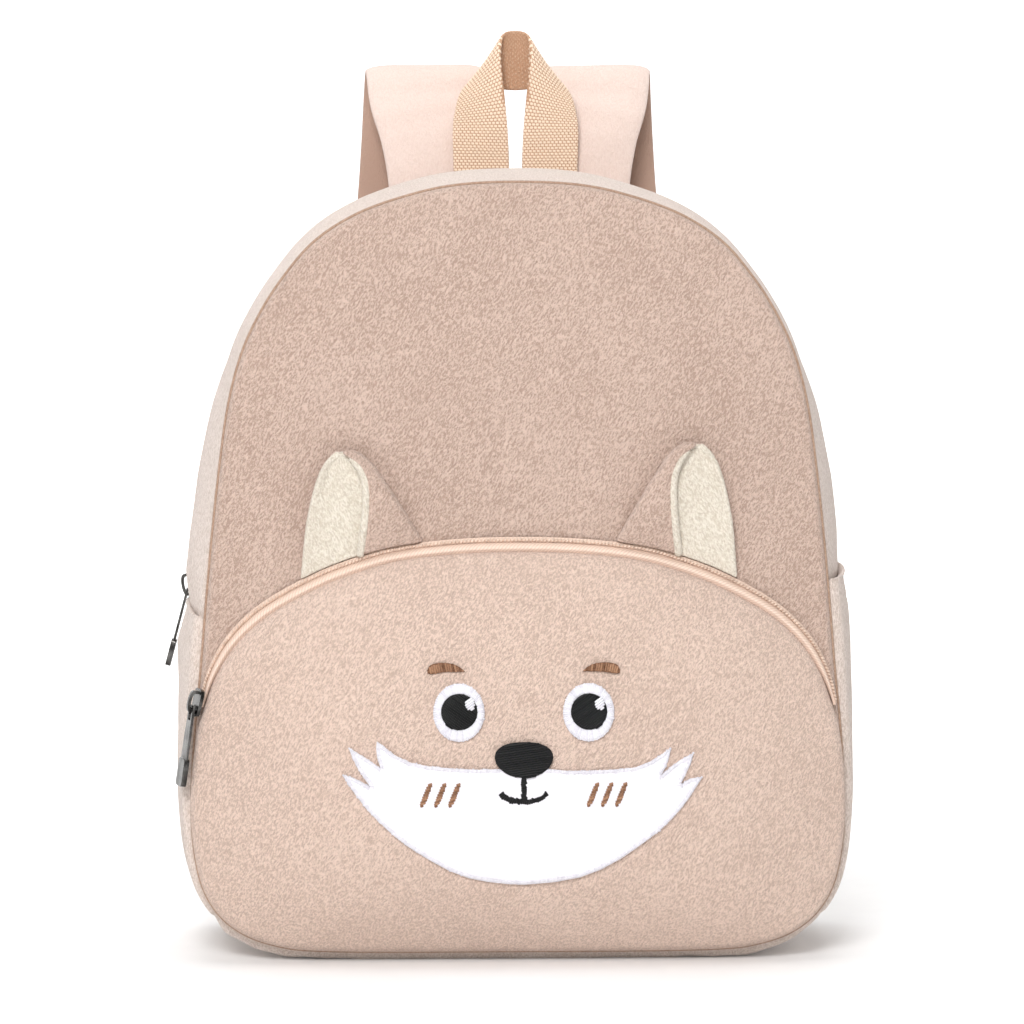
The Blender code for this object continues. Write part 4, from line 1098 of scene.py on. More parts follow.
@dataclass
class SidePocket:
    """A plush wall sewn in both seams, with a hem at its open mouth."""

    side: Side
    foot: float = 16 * MM
    wall: float = 2 * MM
    seam_stand: float = 2.8 * MM
    lean: float = 1.8 * MM
    bow_power: float = 0.7
    mouths: dict = field(
        default_factory=lambda: {
            # front, middle and back height of the mouth, stand-off at half depth
            Side.LEFT: (123, 126, 126, 9),
            Side.RIGHT: (136, 137.8, 137, 11.1),
        }
    )
    rows: tuple = (
        # height, stand-off at half depth
        *((16, 2.6), (20, 3.6), (27, 4.8), (38, 5.6), (67, 6.4), (97, 9), (112, 10.3)),
    )
    seam_roll: float = 3.1 * MM
    foot_roll: float = 3.0 * MM

    def build(self) -> Piece:
        """Outer face from the foot up, over the hem in a half circle and down the inner face."""
        front, middle, back, mouth_stand = np.array(self.mouths[self.side]) * MM
        heights, stands = np.array(self.rows, float).T * MM
        heights, stands = np.append(heights, middle), np.append(stands, mouth_stand)
        low, high = SHAPE.front_seam_y + GAP, SHAPE.back_seam_y - GAP
        depths = eased(low, high, 64)
        across = (depths - low) / (high - low)
        bow = (4 * across * (1 - across)) ** self.bow_power
        mouth = np.interp(across, (0, 0.5, 1), (front, middle, back))
        foot = SHAPE.seam.part_at_height(self.foot)
        tops = np.array([SHAPE.seam.part_at_height(value) for value in mouth])
        spread = np.linspace(0, 1, 90) ** 1.3
        parts = foot + (tops[:, None] - foot) * (1 - spread[None, ::-1])
        place, facing = SHAPE.seam.at((parts * self.side.sign).ravel())
        place = place.reshape(*parts.shape, 2)
        facing = facing.reshape(*parts.shape, 2)
        stand = np.interp(place[..., 1], heights, stands)
        out = self.seam_stand + (stand - self.seam_stand) * bow[:, None]
        below = np.abs(mouth[:, None] - place[..., 1])
        deep = np.broadcast_to(depths[:, None], below.shape)
        flat = np.stack([place[..., 0], deep, place[..., 1]], axis=-1)
        wave = np.sin(across * math.pi)[:, None]
        gather = hump(below, 14 * MM) * wave
        ripple = Ripples(0.35 * MM, 12 * MM, 21).at(flat * np.array([0.2, 1, 0.25])) * gather
        hem = 0.4 * MM * hump(below - 9 * MM, 0.7 * MM) * bow[:, None]
        seam_roll = rolled(np.minimum(depths - low, high - depths), self.seam_roll)[:, None]
        foot_roll = rolled(place[..., 1] - place[:, :1, 1], self.foot_roll)
        slack = Ripples(0.4 * MM, 45 * MM, 22).at(flat) * bow[:, None]
        inwards = self.lean * hump(below, 10 * MM) * wave
        turn = np.linspace(0, math.pi, 8)[None, 1:-1]
        outer = out + np.maximum(ripple + slack, -0.2 * MM) - hem - seam_roll - foot_roll - inwards
        inner = np.minimum(out - self.wall - inwards, outer - 0.5 * MM)
        top_out, top_in = outer[:, -1:], inner[:, -1:]
        rim = (out[:, -1:] + top_in) / 2 + (top_out - top_in) / 2 * np.cos(turn)
        up = self.wall / 2 * np.sin(turn)

        def laid(base: Array, away: Array, stand_off: Array, lift: Array | float = 0.0) -> Array:
            """Points a distance off places on the seam's outline, raised by the lift."""
            x = base[..., 0] + away[..., 0] * stand_off
            z = base[..., 1] + away[..., 1] * stand_off + lift
            return np.stack([x, np.broadcast_to(depths[:, None], x.shape), z], axis=-1)

        section = [
            laid(place, facing, outer),
            laid(place[:, -1:], facing[:, -1:], rim, up),
            laid(place[:, ::-1], facing[:, ::-1], inner[:, ::-1]),
        ]
        rings = np.concatenate(section, axis=1)
        name = f"side_pocket_{self.side.value}"
        return dress(loft(f"{name}_plush", rings), "gusset_plush", nodes=(name,))


# ---------------------------------------------------------------- ears


@dataclass
class Ear:
    """An ear sewn outside the pocket's zip, its inner side folded forward over the lining."""

    side: Side
    tips: dict = field(default_factory=lambda: {Side.LEFT: 184.4 * MM, Side.RIGHT: 187.1 * MM})
    skin: float = 1.8 * MM
    lining: float = 2.2 * MM
    fold_radius: float = 2.4 * MM
    lean: float = 2 * MM
    lining_to: float = 0.97
    squash: float = 0.4
    seam_out: float = 5.9 * MM
    lip: float = 1.5 * MM
    rows: tuple = (
        # part of the height, outer edge, flap's edge, fold
        *((0, 77.9, 55.8, 35), (0.267, 76.7, 54.2, 40), (0.417, 75.9, 53.6, 43)),
        *((0.5625, 74.5, 53.4, 46), (0.708, 72.7, 53.8, 49.4), (0.833, 70.6, 55.6, 52.2)),
        *((0.9375, 67.4, 59.2, 56), (0.985, 65.4, 62.6, 59.6)),
    )
    inside: tuple = (0.06, 0.0, 0.15)

    def at(self, across: Array, part: Array, off: Array | float) -> Array:
        """Points of the ear: across from the middle, part of the way up, off the front panel."""
        place, facing = SHAPE.arc.at(np.linspace(0, 1, ARC_POINTS))
        seam = place + facing * self.seam_out
        foot = np.interp(across, seam[:, 0], seam[:, 1])
        z = foot + (self.tips[self.side] - foot) * part
        x = across * self.side.sign
        sewn = self.squash + (1 - self.squash) * np.clip(part / 0.3, 0, 1) ** 0.7
        y = SHAPE.front_panel_y(x, z) - off * sewn - self.lean * part
        return np.stack([x, y, z], axis=-1)

    def build(self) -> list[Piece]:
        """Makes the folded skin, the lining inside it and the lip along the flap's edge."""
        table = np.array(self.rows, float)
        part = np.linspace(0, table[-1, 0], 44)
        outer, flap, fold = (np.interp(part, table[:, 0], column) * MM for column in table[:, 1:].T)
        smooth = np.array([0.25, 0.5, 0.25])
        outer, flap, fold = (
            np.r_[line[0], np.convolve(line, smooth, "valid"), line[-1]]
            for line in (outer, flap, fold)
        )
        centre = fold + self.fold_radius
        back = GAP + self.skin / 2
        radius = self.fold_radius
        flap = np.maximum(flap, centre + 0.6 * MM)
        grid = []
        for k in np.linspace(0, 1, 14)[:-1]:
            grid.append((outer + (centre - outer) * k, back))
        for angle in np.linspace(0, math.pi, 12):
            grid.append((centre - radius * math.sin(angle), back + radius * (1 - math.cos(angle))))
        for k in np.linspace(0, 1, 12)[1:]:
            puff = 0.5 * MM * math.sin(k * math.pi)
            grid.append((centre + (flap - centre) * k, back + 2 * radius + puff))
        skin = np.stack([self.at(across, part, off) for across, off in grid])
        name = f"ear_{self.side.value}"
        skin_piece = self.layer(f"{name}_skin", skin, self.skin)
        dress(skin_piece, "panel_plush", nodes=(name,))

        off = GAP + self.skin + GAP + self.lining / 2
        inner = np.minimum(centre + 0.2 * MM, outer - 2 * MM)
        share = self.lining_to / part[-1]
        narrow = np.sqrt(np.clip(1 - ((part / part[-1] - 0.9) / 0.1).clip(0, 1) ** 2, 0.02, 1))
        middle = (outer + inner) / 2
        shallow = []
        for k in np.linspace(0, 1, 22):
            hollow = 1.0 * MM * math.sin(k * math.pi) ** 0.8 - 1.0 * MM * hump(k, 0.1)
            across = middle + (outer - middle + (inner - outer) * k) * narrow
            shallow.append(self.at(across, part * share, off - hollow * narrow))
        lining_piece = self.layer(f"{name}_lining_plush", np.stack(shallow), self.lining)
        dress(lining_piece, "lining_plush", nodes=(f"{name}_lining",))

        lip_part = np.linspace(0.0, 0.93, 60)
        edge = np.interp(lip_part, part, flap) + 0.9 * MM
        lip_line = self.at(edge, lip_part, back + 2 * radius - 0.1 * MM)
        start, end = np.linspace(0.8, 20, 60), np.linspace(12, 0.2, 60)
        taper = np.clip(np.minimum(start, end), 0, 1) ** 0.5
        lip = cord(f"{name}_lip", lip_line, self.lip * taper, sides=14)
        return [skin_piece, lining_piece, dress(lip, "lining_plush")]

    def layer(self, name: str, grid: Array, thickness: float) -> Piece:
        """One layer of the ear: a softened wall on both sides of a grid of points."""
        x, y, z = self.inside
        piece = mesh_piece(name, grid, quads(*grid.shape[:2]))
        face_away(piece, (self.side.sign * x, y, z))
        return soften(wall(piece, thickness, 0.0))


# ---------------------------------------------------------------- webbing and straps


@dataclass(frozen=True)
class Webbing:
    """Woven tape between two edge lines, with real relief on both faces."""

    thickness: float
    cell: float = 1.08 * MM
    widening: float = 1.4
    relief: float = 0.36 * MM
    samples: int = 4

    def strip(self, name: str, first: Array, second: Array, turned: Array | None = None) -> Piece:
        """Closed tape from a table of edge points.

        The relief is a brickwork of pillows: the root of (1 - a^2)(1 - b^2) over each cell, every
        other row set off by half a cell.

        Args:
            name: the piece's name.
            first: points along one edge.
            second: points along the other edge.
            turned: not used; the direction off the face at each point is always worked out.

        Returns:
            The tape.
        """
        middle = (first + second) / 2
        count = int(length_of(middle) / self.cell * self.samples)
        both = smooth_curve(np.hstack([middle, second - first]), count)
        middle, width = both[:, :3], both[:, 3:]
        wide = float(np.linalg.norm(width, axis=1).max())
        columns = max(int(wide / self.cell / self.widening), 6)
        u = np.linspace(-0.5, 0.5, columns * self.samples + 1)
        along = unit(np.gradient(middle, axis=0))
        off = unit(np.cross(along, unit(width)))
        run = run_along(middle)
        row = np.arange(count) / self.samples
        column = (u[None, :] + 0.5) * columns + 0.5 * (np.floor(row) % 2)[:, None]
        a, b = (2 * (row % 1) - 1)[:, None], 2 * (column % 1) - 1
        pillow = np.sqrt(np.clip((1 - abs(a) ** 2.2) * (1 - abs(b) ** 2.2), 0, 1))
        edge = np.sqrt(np.clip(1 - (abs(u) * 2) ** 14, 0, 1))[None, :]
        half = (self.thickness / 2 - self.relief + self.relief * pillow) * (0.55 + 0.45 * edge)
        base = middle[:, None] + width[:, None] * u[None, :, None]
        upper = base + off[:, None] * half[..., None]
        lower = base - off[:, None] * half[..., None]
        rings = np.concatenate([upper, lower[:, ::-1]], axis=1)
        spread = np.concatenate([u * wide, u[::-1] * wide])
        uv = np.stack(np.broadcast_arrays(run[:, None], spread[None, :]), axis=-1)
        piece = loft(name, rings, uv)
        # the pillows' heights are stored for the weave's painted shade
        return mark(piece, "relief", np.concatenate([pillow, pillow[:, ::-1]], axis=1))


@dataclass
class Handle:
    """Folded webbing handle: its inner edge makes the small top loop."""

    shift: float = 2.2 * MM
    # half width, foot height and depth of the painted shade inside the top loop
    loop: tuple = (5.6 * MM, 308 * MM, 0.7)
    rows: tuple = (
        # inner across, back, height, outer across, back, height
        (2.4, 48.7, 262, 23.2, 48.7, 262),
        (2.4, 48.7, 285, 23.3, 48.7, 285),
        (3.0, 48.7, 300, 23.6, 49, 300),
        (4.4, 48.7, 315, 22.2, 50.4, 309),
        (5.5, 49, 325, 20.4, 53, 313.5),
        (5.6, 50.5, 332, 17.2, 56, 316),
        (4.0, 53, 336, 11, 57.5, 316),
        (0, 55, 337, 0, 57.5, 314.8),
    )

    def build(self) -> Piece:
        """Carries the webbing from foot to foot between its two edges."""
        rows = np.array(self.rows, float)
        mirrored = rows[-2::-1] * np.array((-1, 1, 1, -1, 1, 1))
        path = smooth_curve(np.vstack([rows, mirrored]), 161) * MM
        path[:, [0, 3]] += self.shift
        piece = Webbing(2.2 * MM).strip("handle_webbing", path[:, :3], path[:, 3:])
        self.shade(piece)
        return dress(piece, "handle_weave", nodes=("handle",))

    def shade(self, piece: Piece) -> None:
        """Paints shade on the weave on the face seen inside the top loop.

        The weave's relief number, which sets its painted shade, drops by depth where the face looks
        forward, inside the loop's width and above its foot.

        Args:
            piece: the handle, with its weave's number on it.
        """
        half, foot, depth = self.loop
        mesh = piece.data
        place, normal = np.zeros((2, len(mesh.vertices), 3))
        mesh.vertices.foreach_get("co", place.ravel())
        mesh.vertices.foreach_get("normal", normal.ravel())
        inside = np.clip((half - abs(place[:, 0] - self.shift)) / (0.8 * MM), 0, 1)
        inside *= np.clip((place[:, 2] - foot) / (4 * MM), 0, 1) * (normal[:, 1] < 0.1)
        value = np.zeros(len(place), np.float32)
        layer = mesh.attributes["relief"].data
        layer.foreach_get("value", value)
        layer.foreach_set("value", (value - depth * inside).astype(np.float32))


@dataclass
class ShoulderStrap:
    """Padded strap with the webbing and sewn tab that hold its lower end."""

    side: Side
    pad: float = 7 * MM
    webbing: float = 1.3 * MM
    webbing_width: float = 20 * MM
    anchor: tuple = (96 * MM, 54 * MM, 24 * MM)
    tab: tuple = (26 * MM, 24 * MM, 2 * MM)
    tab_levels: tuple = (
        # share of the tab's size, share of its thickness
        *((1, 0), (1, 0.35), (0.985, 0.7), (0.94, 0.95), (0.86, 0.9), (0.7, 1), (0.3, 1.1)),
    )
    below: float = 22 * MM
    bars: tuple = (-8.5 * MM, 0.0, 9 * MM)
    bar: float = 1.1 * MM
    rows: tuple = (
        # across, back, height, width
        *((26, 53.8, 258, 38.5), (26.3, 54, 280, 39), (28, 57, 298, 41.5)),
        *((30.6, 62.5, 311.5, 44.4), (31.3, 69, 321.6, 46), (31.8, 75, 313, 46.5)),
        *((32.7, 76, 292, 47), (34.5, 76, 268, 47), (40, 75.5, 230, 45)),
        *((47, 73, 190, 41), (55, 68, 150, 36), (64, 60, 112, 30)),
    )

    def build(self) -> list[Piece]:
        """Makes the pad, the two runs of webbing and the sewn tab."""
        rows = np.array(self.rows, float) * MM
        rows[:, 0] *= self.side.sign
        path = smooth_curve(rows, 260)
        name = self.side.value
        pad = dress(self.pad_piece(path), "strap_plush", nodes=(f"strap_{name}",))
        end = path[-1, :3]
        anchor = np.array((self.side.sign * self.anchor[0], self.anchor[1], self.anchor[2]))
        along = unit(end - anchor)
        centre = end - along * self.below
        across = np.array((-1.0, 0.0, 0.0))
        across = unit(across - along * (across @ along))
        off = np.cross(across, along)
        pieces = [pad]
        for label, run in self.runs(float(np.linalg.norm(centre - anchor))).items():
            line = centre + run[:, :1] * along + run[:, 1:] * off
            half = across * self.webbing_width / 2
            tape = Webbing(self.webbing, relief=0.2 * MM, samples=2)
            piece = tape.strip(f"{label}_{name}_tape", line - half, line + half)
            pieces.append(dress(piece, "handle_weave", nodes=(f"{label}_{name}",)))
        pieces.append(self.sewn_tab(anchor, along))
        return pieces

    def pad_piece(self, path: Array) -> Piece:
        """Flattened oval section along the strap, with a seam round its edge.

        Across it is half the width times the cosine to the power 0.62, and off it half the pad
        times the sine to the power 0.8, with a crease where it folds over the bag's top.

        Args:
            path: middles and widths.

        Returns:
            The pad.
        """
        middle, width = path[:, :3], path[:, 3]
        along = unit(np.gradient(middle, axis=0))
        across = unit(np.array((1.0, 0.0, 0.0)) - along * along[:, :1])
        off = np.cross(along, across)
        turn = around(72)
        u = signed_power(np.cos(turn), 0.62) / 2
        v = signed_power(np.sin(turn), 0.8) / 2
        seam = 1 - 0.03 * hump(np.sin(turn), 0.12)
        run = np.linspace(0, 1, len(path))
        closed = np.clip(np.minimum(run / 0.004, (1 - run) / 0.03), 0.02, 1) ** 0.5
        ring = middle[:, None] + across[:, None] * (u * seam)[None, :, None] * width[:, None, None]
        thick = (self.pad * closed)[:, None, None] * v[None, :, None]
        soft = Ripples(0.4 * MM, 30 * MM, 31).at(ring)[..., None] * 2 * v[None, :, None]
        crease = np.sin(run * 150) * hump(run - 0.2, 0.05) * 0.25 * MM
        folded = crease[:, None, None] * np.sign(v)[None, :, None]
        rings = ring + off[:, None] * (thick + soft + folded)
        # inner side, shaded inside the fold, marked for painted shade
        inside = np.broadcast_to(np.clip(v * 8, 0, 1), rings.shape[:2])
        return mark(loft(f"strap_{self.side.value}_pad", rings), "inside", inside)

    def runs(self, reach: float) -> dict[str, Array]:
        """Both runs of webbing in the adjuster's plane: along it, and off it."""
        low, middle, high = self.bars
        radius = self.bar * math.sqrt(2) + GAP + 0.6 * MM + 0.1 * MM
        turn = np.radians(np.linspace(0, 180, 9))
        half = np.stack([np.sin(turn), -np.cos(turn)], axis=1) * radius
        down = np.array([(-reach - 8 * MM, -radius), (-reach / 2, -radius)])
        tail = np.array([(low, radius), (-26 * MM, radius + 1 * MM), (-44 * MM, radius + 2 * MM)])
        loop_end = self.below - 1.8 * MM
        back = half * np.array((-1, 1)) + np.array((high, 0))
        ends = np.array([(loop_end, -radius)]), np.array([(loop_end, radius)])
        return {
            "strap_webbing": np.vstack([down, half + np.array((middle, 0)), tail]),
            "strap_loop": np.vstack([ends[0], back, ends[1]]),
        }

    def sewn_tab(self, anchor: Array, along: Array) -> Piece:
        """Plush tab with rounded corners and puffed middle, sewn to the back panel."""
        width, length, thickness = self.tab
        up = unit(np.array((along[0], 0.0, along[2])))
        across = np.cross(up, (0.0, 1.0, 0.0))
        seat = SHAPE.back_panel_y(anchor[:1], anchor[2:])[0] + 2 * GAP
        turn = around(64)
        u = signed_power(np.cos(turn), 0.3) * width / 2
        v = signed_power(np.sin(turn), 0.3) * length / 2
        centre = np.array((anchor[0], seat, anchor[2]))
        flat = u[:, None] * across + v[:, None] * up
        wide, high = np.array(self.tab_levels).T[:, :, None, None]
        rings = centre + wide * flat[None] + high * np.array((0, thickness, 0))
        name = f"anchor_tab_{self.side.value}"
        return dress(loft(f"{name}_plush", rings), "gusset_plush", nodes=(name,))


# ---------------------------------------------------------------- face


@dataclass(frozen=True)
class Embroidery:
    """Thread laid on the pocket: places in mm from the face's middle line."""

    shift: float = 1 * MM
    pitch: float = 0.8 * MM
    thread: float = 0.4 * MM
    ragged: float = 0.14 * MM

    def on_pocket(self, flat: Array, off: Array | float) -> Array:
        """Points in mm, lifted off the pocket's face."""
        x = flat[..., 0] * MM + self.shift
        z = flat[..., 1] * MM
        return np.stack([x, SHAPE.pocket_y(x, z) - off, z], axis=-1)

    def patch(self, name: str, outline: Array, cell: float, low: float, high: float) -> Piece:
        """Cloth or filling with this outline, fuller in its middle than at its edge.

        Args:
            name: the piece's name.
            outline: its corners in mm.
            cell: size of its mesh in mm.
            low: height off the pocket of its underside.
            high: its thickness.

        Returns:
            The patch.
        """
        work = bmesh.new()
        work.faces.new([work.verts.new((x, 0.0, z)) for x, z in outline])
        work.normal_update()
        bmesh.ops.triangulate(work, faces=work.faces)
        least, most = outline.min(axis=0), outline.max(axis=0)
        for axis, normal in enumerate(((1, 0, 0), (0, 0, 1))):
            for step in range(math.floor(least[axis] / cell), math.ceil(most[axis] / cell)):
                everything = work.verts[:] + work.edges[:] + work.faces[:]
                cut = Vector(normal) * (step + 0.5) * cell
                plane = {"plane_co": cut, "plane_no": normal}
                bmesh.ops.bisect_plane(work, geom=everything, dist=1e-5, **plane)
        bmesh.ops.remove_doubles(work, verts=work.verts, dist=0.02)
        bmesh.ops.recalc_face_normals(work, faces=work.faces)
        mesh = bpy.data.meshes.new(name)
        work.to_mesh(mesh)
        work.free()
        flat = np.empty(len(mesh.vertices) * 3)
        mesh.vertices.foreach_get("co", flat)
        flat = flat.reshape(-1, 3)[:, [0, 2]]
        mesh.vertices.foreach_set("co", self.on_pocket(flat, low).astype(np.float32).ravel())
        mesh.update()
        mesh.shade_smooth()
        return wall(face_away(linked(name, mesh), POCKET_MIDDLE), high, 1.0)

    def threads(self, starts: Array, ends: Array, low: float, rise: float) -> tuple[Array, Array]:
        """Stitches as arched tubes, from start to end.

        A stitch's height is the rise times (1 - t^6) along it, and its section is a half round
        closed below.

        Args:
            starts: first ends in mm.
            ends: second ends in mm.
            low: height of the stitch's foot off the pocket.
            rise: height of its arch.

        Returns:
            Points and faces.
        """
        t = np.array([-1, -0.8, -0.35, 0.35, 0.8, 1.0])
        along = unit(ends - starts)
        beside = np.stack([-along[:, 1], along[:, 0]], axis=1)
        middle = (starts + ends)[:, None] / 2 + (ends - starts)[:, None] / 2 * t[None, :, None]
        turn = np.radians((0, 45, 90, 135, 180, 270))
        half = self.thread / MM * (0.7 + 0.3 * np.sqrt(1 - t**6))
        wide = half[:, None] * np.cos(turn)
        flat = middle[:, :, None] + beside[:, None, None] * wide[None, ..., None]
        ends_in = np.array([0.3, 0.8, 1, 1, 0.8, 0.3])[:, None]
        arch = (rise * (1 - t**6))[:, None] + self.thread * np.sin(turn)[None, :] * ends_in
        points = self.on_pocket(flat, low + arch[None])
        faces = quads(len(t), len(turn), ring=True)
        shift = np.arange(len(starts))[:, None, None] * len(t) * len(turn)
        return points.reshape(-1, 3), (faces[None] + shift).reshape(-1, 4)

    def stitched(self, name: str, stitches: list, low: float, rise: float) -> Piece:
        """One mesh of several sets of stitches, each a pair of start and end arrays."""
        starts, ends = (np.vstack(side) for side in zip(*stitches))
        count = len(starts)
        rng = np.random.default_rng(count)
        along = unit(ends - starts)
        first, last = rng.normal(0, self.ragged / MM, (2, count, 1)).clip(-0.4, 0.4)
        points, faces = self.threads(starts + along * first, ends + along * last, low, rise)
        piece = face_away(mesh_piece(name, points, faces), POCKET_MIDDLE)
        return mark(piece, "shade", np.repeat(rng.uniform(0, 1, count), len(points) // count))

    def fill(self, outline: Array, lean: float) -> tuple[Array, Array]:
        """Parallel stitches across an outline, leaning by an angle.

        Args:
            outline: closed outline in mm.
            lean: direction of the stitches from the horizontal.

        Returns:
            Their starts and their ends.
        """
        turn = np.array([[math.cos(lean), math.sin(lean)], [-math.sin(lean), math.cos(lean)]])
        flat = outline @ turn.T
        rows = np.arange(flat[:, 1].min() + 0.2, flat[:, 1].max() - 0.1, self.pitch / MM)
        following = np.roll(flat, -1, axis=0)
        starts, ends = [], []
        for row in rows:
            crossing = (flat[:, 1] <= row) != (following[:, 1] <= row)
            a, b = flat[crossing], following[crossing]
            hits = np.sort(a[:, 0] + (row - a[:, 1]) * (b[:, 0] - a[:, 0]) / (b[:, 1] - a[:, 1]))
            for low, high in zip(hits[::2], hits[1::2]):
                if high - low > 0.5:
                    starts.append((low + 0.1, row))
                    ends.append((high - 0.1, row))
        return np.array(starts) @ turn, np.array(ends) @ turn

    def border(self, outline: Array, width: float, lean: float = 0.35) -> tuple[Array, Array]:
        """Satin stitches along a closed outline, from just outside it to inside it."""
        closed = np.vstack([outline, outline[:1]])
        run = run_along(closed)
        at = np.arange(0, run[-1], self.pitch / MM * 0.9)
        place = sampled(at, run, closed)
        ahead, before = (sampled((at + step) % run[-1], run, closed) for step in (0.8, -0.8))
        along = unit(ahead - before)
        inward = np.stack([along[:, 1], -along[:, 0]], axis=1)
        area = 0.5 * np.sum(closed[:-1, 0] * closed[1:, 1] - closed[1:, 0] * closed[:-1, 1])
        inward *= -1 if area > 0 else 1
        reach = np.zeros(len(place))
        for share in (0.15, 0.3, 0.45, 0.6, 0.8, 1.0):
            tip = place + inward * width * share
            gap = np.sqrt(((tip[:, None] - place[None]) ** 2).sum(-1)).min(axis=1)
            reach = np.where(gap > 0.7 * width * share, share, reach)
        reach = np.maximum(reach, 0.15)[:, None]
        return place - inward * 0.1 * reach, place + (inward + along * lean) * width * reach


def oval(
    centre: tuple, size: tuple, count: int = 60, power: float = 1.0, wide: float = 0.0
) -> Array:
    """Oval outline in mm; wide makes its upper half wider and its lower half narrower."""
    x, z = np.sin(around(count)), np.cos(around(count))
    x = signed_power(x, power) * (1 + wide * z)
    return np.stack([centre[0] + x * size[0] / 2, centre[1] + z * size[1] / 2], axis=1)


@dataclass
class Face:
    """Embroidered face on the front pocket."""

    sew: Embroidery = Embroidery()
    eye_at: tuple = (22.9, 92)
    eye_size: tuple = (18.1, 20.5)
    pupil_radius: float = 6.4
    pupil_shift: tuple = (0.1, 0.3)
    nose_at: float = 75.3
    nose_size: tuple = (20.4, 12.6)
    mark_height: float = 62.9
    marks_at: tuple = (24.5, 29.5, 34.5)
    mark_size: tuple = (2.0, 7.9)
    mark_lean: float = math.radians(20)
    brow_rows: tuple = (
        # across, height: a right brow, from its inner end over the top and back below
        *((20.7, 106.4), (22.2, 107.7), (24.4, 108.9), (27.4, 109.5), (30.6, 109.4), (33.0, 108.6)),
        *((33.8, 107.2), (33.7, 105.8), (32.6, 105.5), (30.0, 105.9), (27.2, 106.3), (24.0, 106.3)),
    )
    mouth_rows: tuple = (
        # across, height
        *((-8.0, 63.2), (-6.4, 61.8), (-3.4, 60.7), (0, 60.4)),
        *((3.4, 60.7), (6.4, 61.8), (8.0, 63.2)),
    )
    muzzle_rows: tuple = (
        # across, height: from the middle of the top edge round by the left
        *((-0.6, 72.2), (-6.6, 72.1), (-15.5, 71.8), (-24.3, 72.2), (-33.1, 72.9), (-40.2, 74.4)),
        *((-45.5, 76.9), (-49.4, 80.0), (-51.8, 81.8), (-52.1, 79.6), (-51.7, 76.0), (-50.3, 72.0)),
        *((-53.4, 74.3), (-56.9, 76.5), (-61.8, 79.6), (-60.5, 76.1), (-58.7, 72.5), (-56.5, 69.0)),
        *((-53.9, 65.4), (-57.0, 67.2), (-60.1, 68.8), (-64.0, 69.9), (-61.8, 66.3), (-58.7, 61.9)),
        *((-55.2, 57.4), (-50.8, 52.9), (-45.5, 48.0), (-40.2, 44.0), (-33.2, 39.5), (-26.1, 35.5)),
        *((-19.0, 32.8), (-11.9, 31.4), (-4.8, 30.6), (0.5, 30.4), (11.1, 31.3), (20.0, 33.0)),
        *((27.1, 35.7), (34.2, 39.6), (41.2, 44.5), (48.3, 49.8), (53.6, 55.1), (58.1, 60.5)),
        *((61.6, 65.8), (63.4, 68.6), (58.9, 68.0), (55.4, 65.8), (57.2, 69.4), (58.9, 72.9)),
        *((60.2, 77.2), (55.4, 74.7), (51.8, 72.1), (48.3, 69.0), (50.1, 72.1), (51.4, 75.6)),
        *((52.1, 79.2), (48.3, 76.5), (44.7, 74.3), (39.4, 72.3), (33.2, 71.7), (24.4, 71.3)),
        *((15.5, 71.3), (7.5, 72.1)),
    )

    def build(self) -> list[Piece]:
        """Makes and dresses every part of the face."""
        pieces = self.muzzle()
        for side in Side:
            pieces += self.eye(side) + self.brow(side) + self.marks(side)
        return pieces + self.nose() + self.mouth()

    def muzzle(self) -> list[Piece]:
        """White cloth patch with a satin-stitched border round its tufts."""
        outline = np.array(self.muzzle_rows, float)
        cloth = self.sew.patch("muzzle_patch", outline, 2.5, 0.35 * MM, 0.75 * MM)
        border = self.sew.border(outline, 1.3)
        edge = self.sew.stitched("muzzle_border", [border], 0.75 * MM, 0.4 * MM)
        return [dress(cloth, "muzzle_cloth", nodes=("muzzle",)), dress(edge, "edge_stitch")]

    def eye(self, side: Side) -> list[Piece]:
        """White ring of radial stitches round a filled black pupil with a white glint."""
        name = side.value
        centre = np.array((side.sign * self.eye_at[0], self.eye_at[1]))
        pupil_at = centre + np.array(self.pupil_shift)
        white = oval(centre, self.eye_size)
        round_size = (2 * self.pupil_radius, 2 * self.pupil_radius)
        black = oval(pupil_at, round_size)
        base = self.sew.patch(f"eye_{name}_white", white, 3, 0.35 * MM, 0.6 * MM)
        count = int(length_of(white) / (self.sew.pitch / MM))
        heading = np.stack([np.sin(around(count)), np.cos(around(count))], axis=1)
        outer = centre + heading * np.array(self.eye_size) / 2
        inner = pupil_at + heading * (self.pupil_radius - 0.5)
        ring = self.sew.stitched(f"eye_{name}_ring", [(inner, outer)], 0.75 * MM, 0.45 * MM)
        fill = self.sew.fill(black, math.radians(35) * side.sign)
        pupil = self.sew.patch(f"pupil_{name}_base", black, 3, 0.95 * MM, 0.7 * MM)
        thread = self.sew.stitched(f"pupil_{name}_fill", [fill], 1.45 * MM, 0.4 * MM)
        glint_at = pupil_at + np.array((3.7, 2.9))
        glint = self.sew.fill(oval(glint_at, (3.9, 4.4), 24), math.radians(35))
        spark = self.sew.stitched(f"eye_{name}_glint", [glint], 1.95 * MM, 0.25 * MM)
        return [
            dress(base, "white_stitch", nodes=(f"eye_{name}",)),
            dress(ring, "white_stitch"),
            dress(pupil, "black_stitch", nodes=(f"pupil_{name}",)),
            dress(thread, "black_stitch"),
            dress(spark, "white_stitch"),
        ]

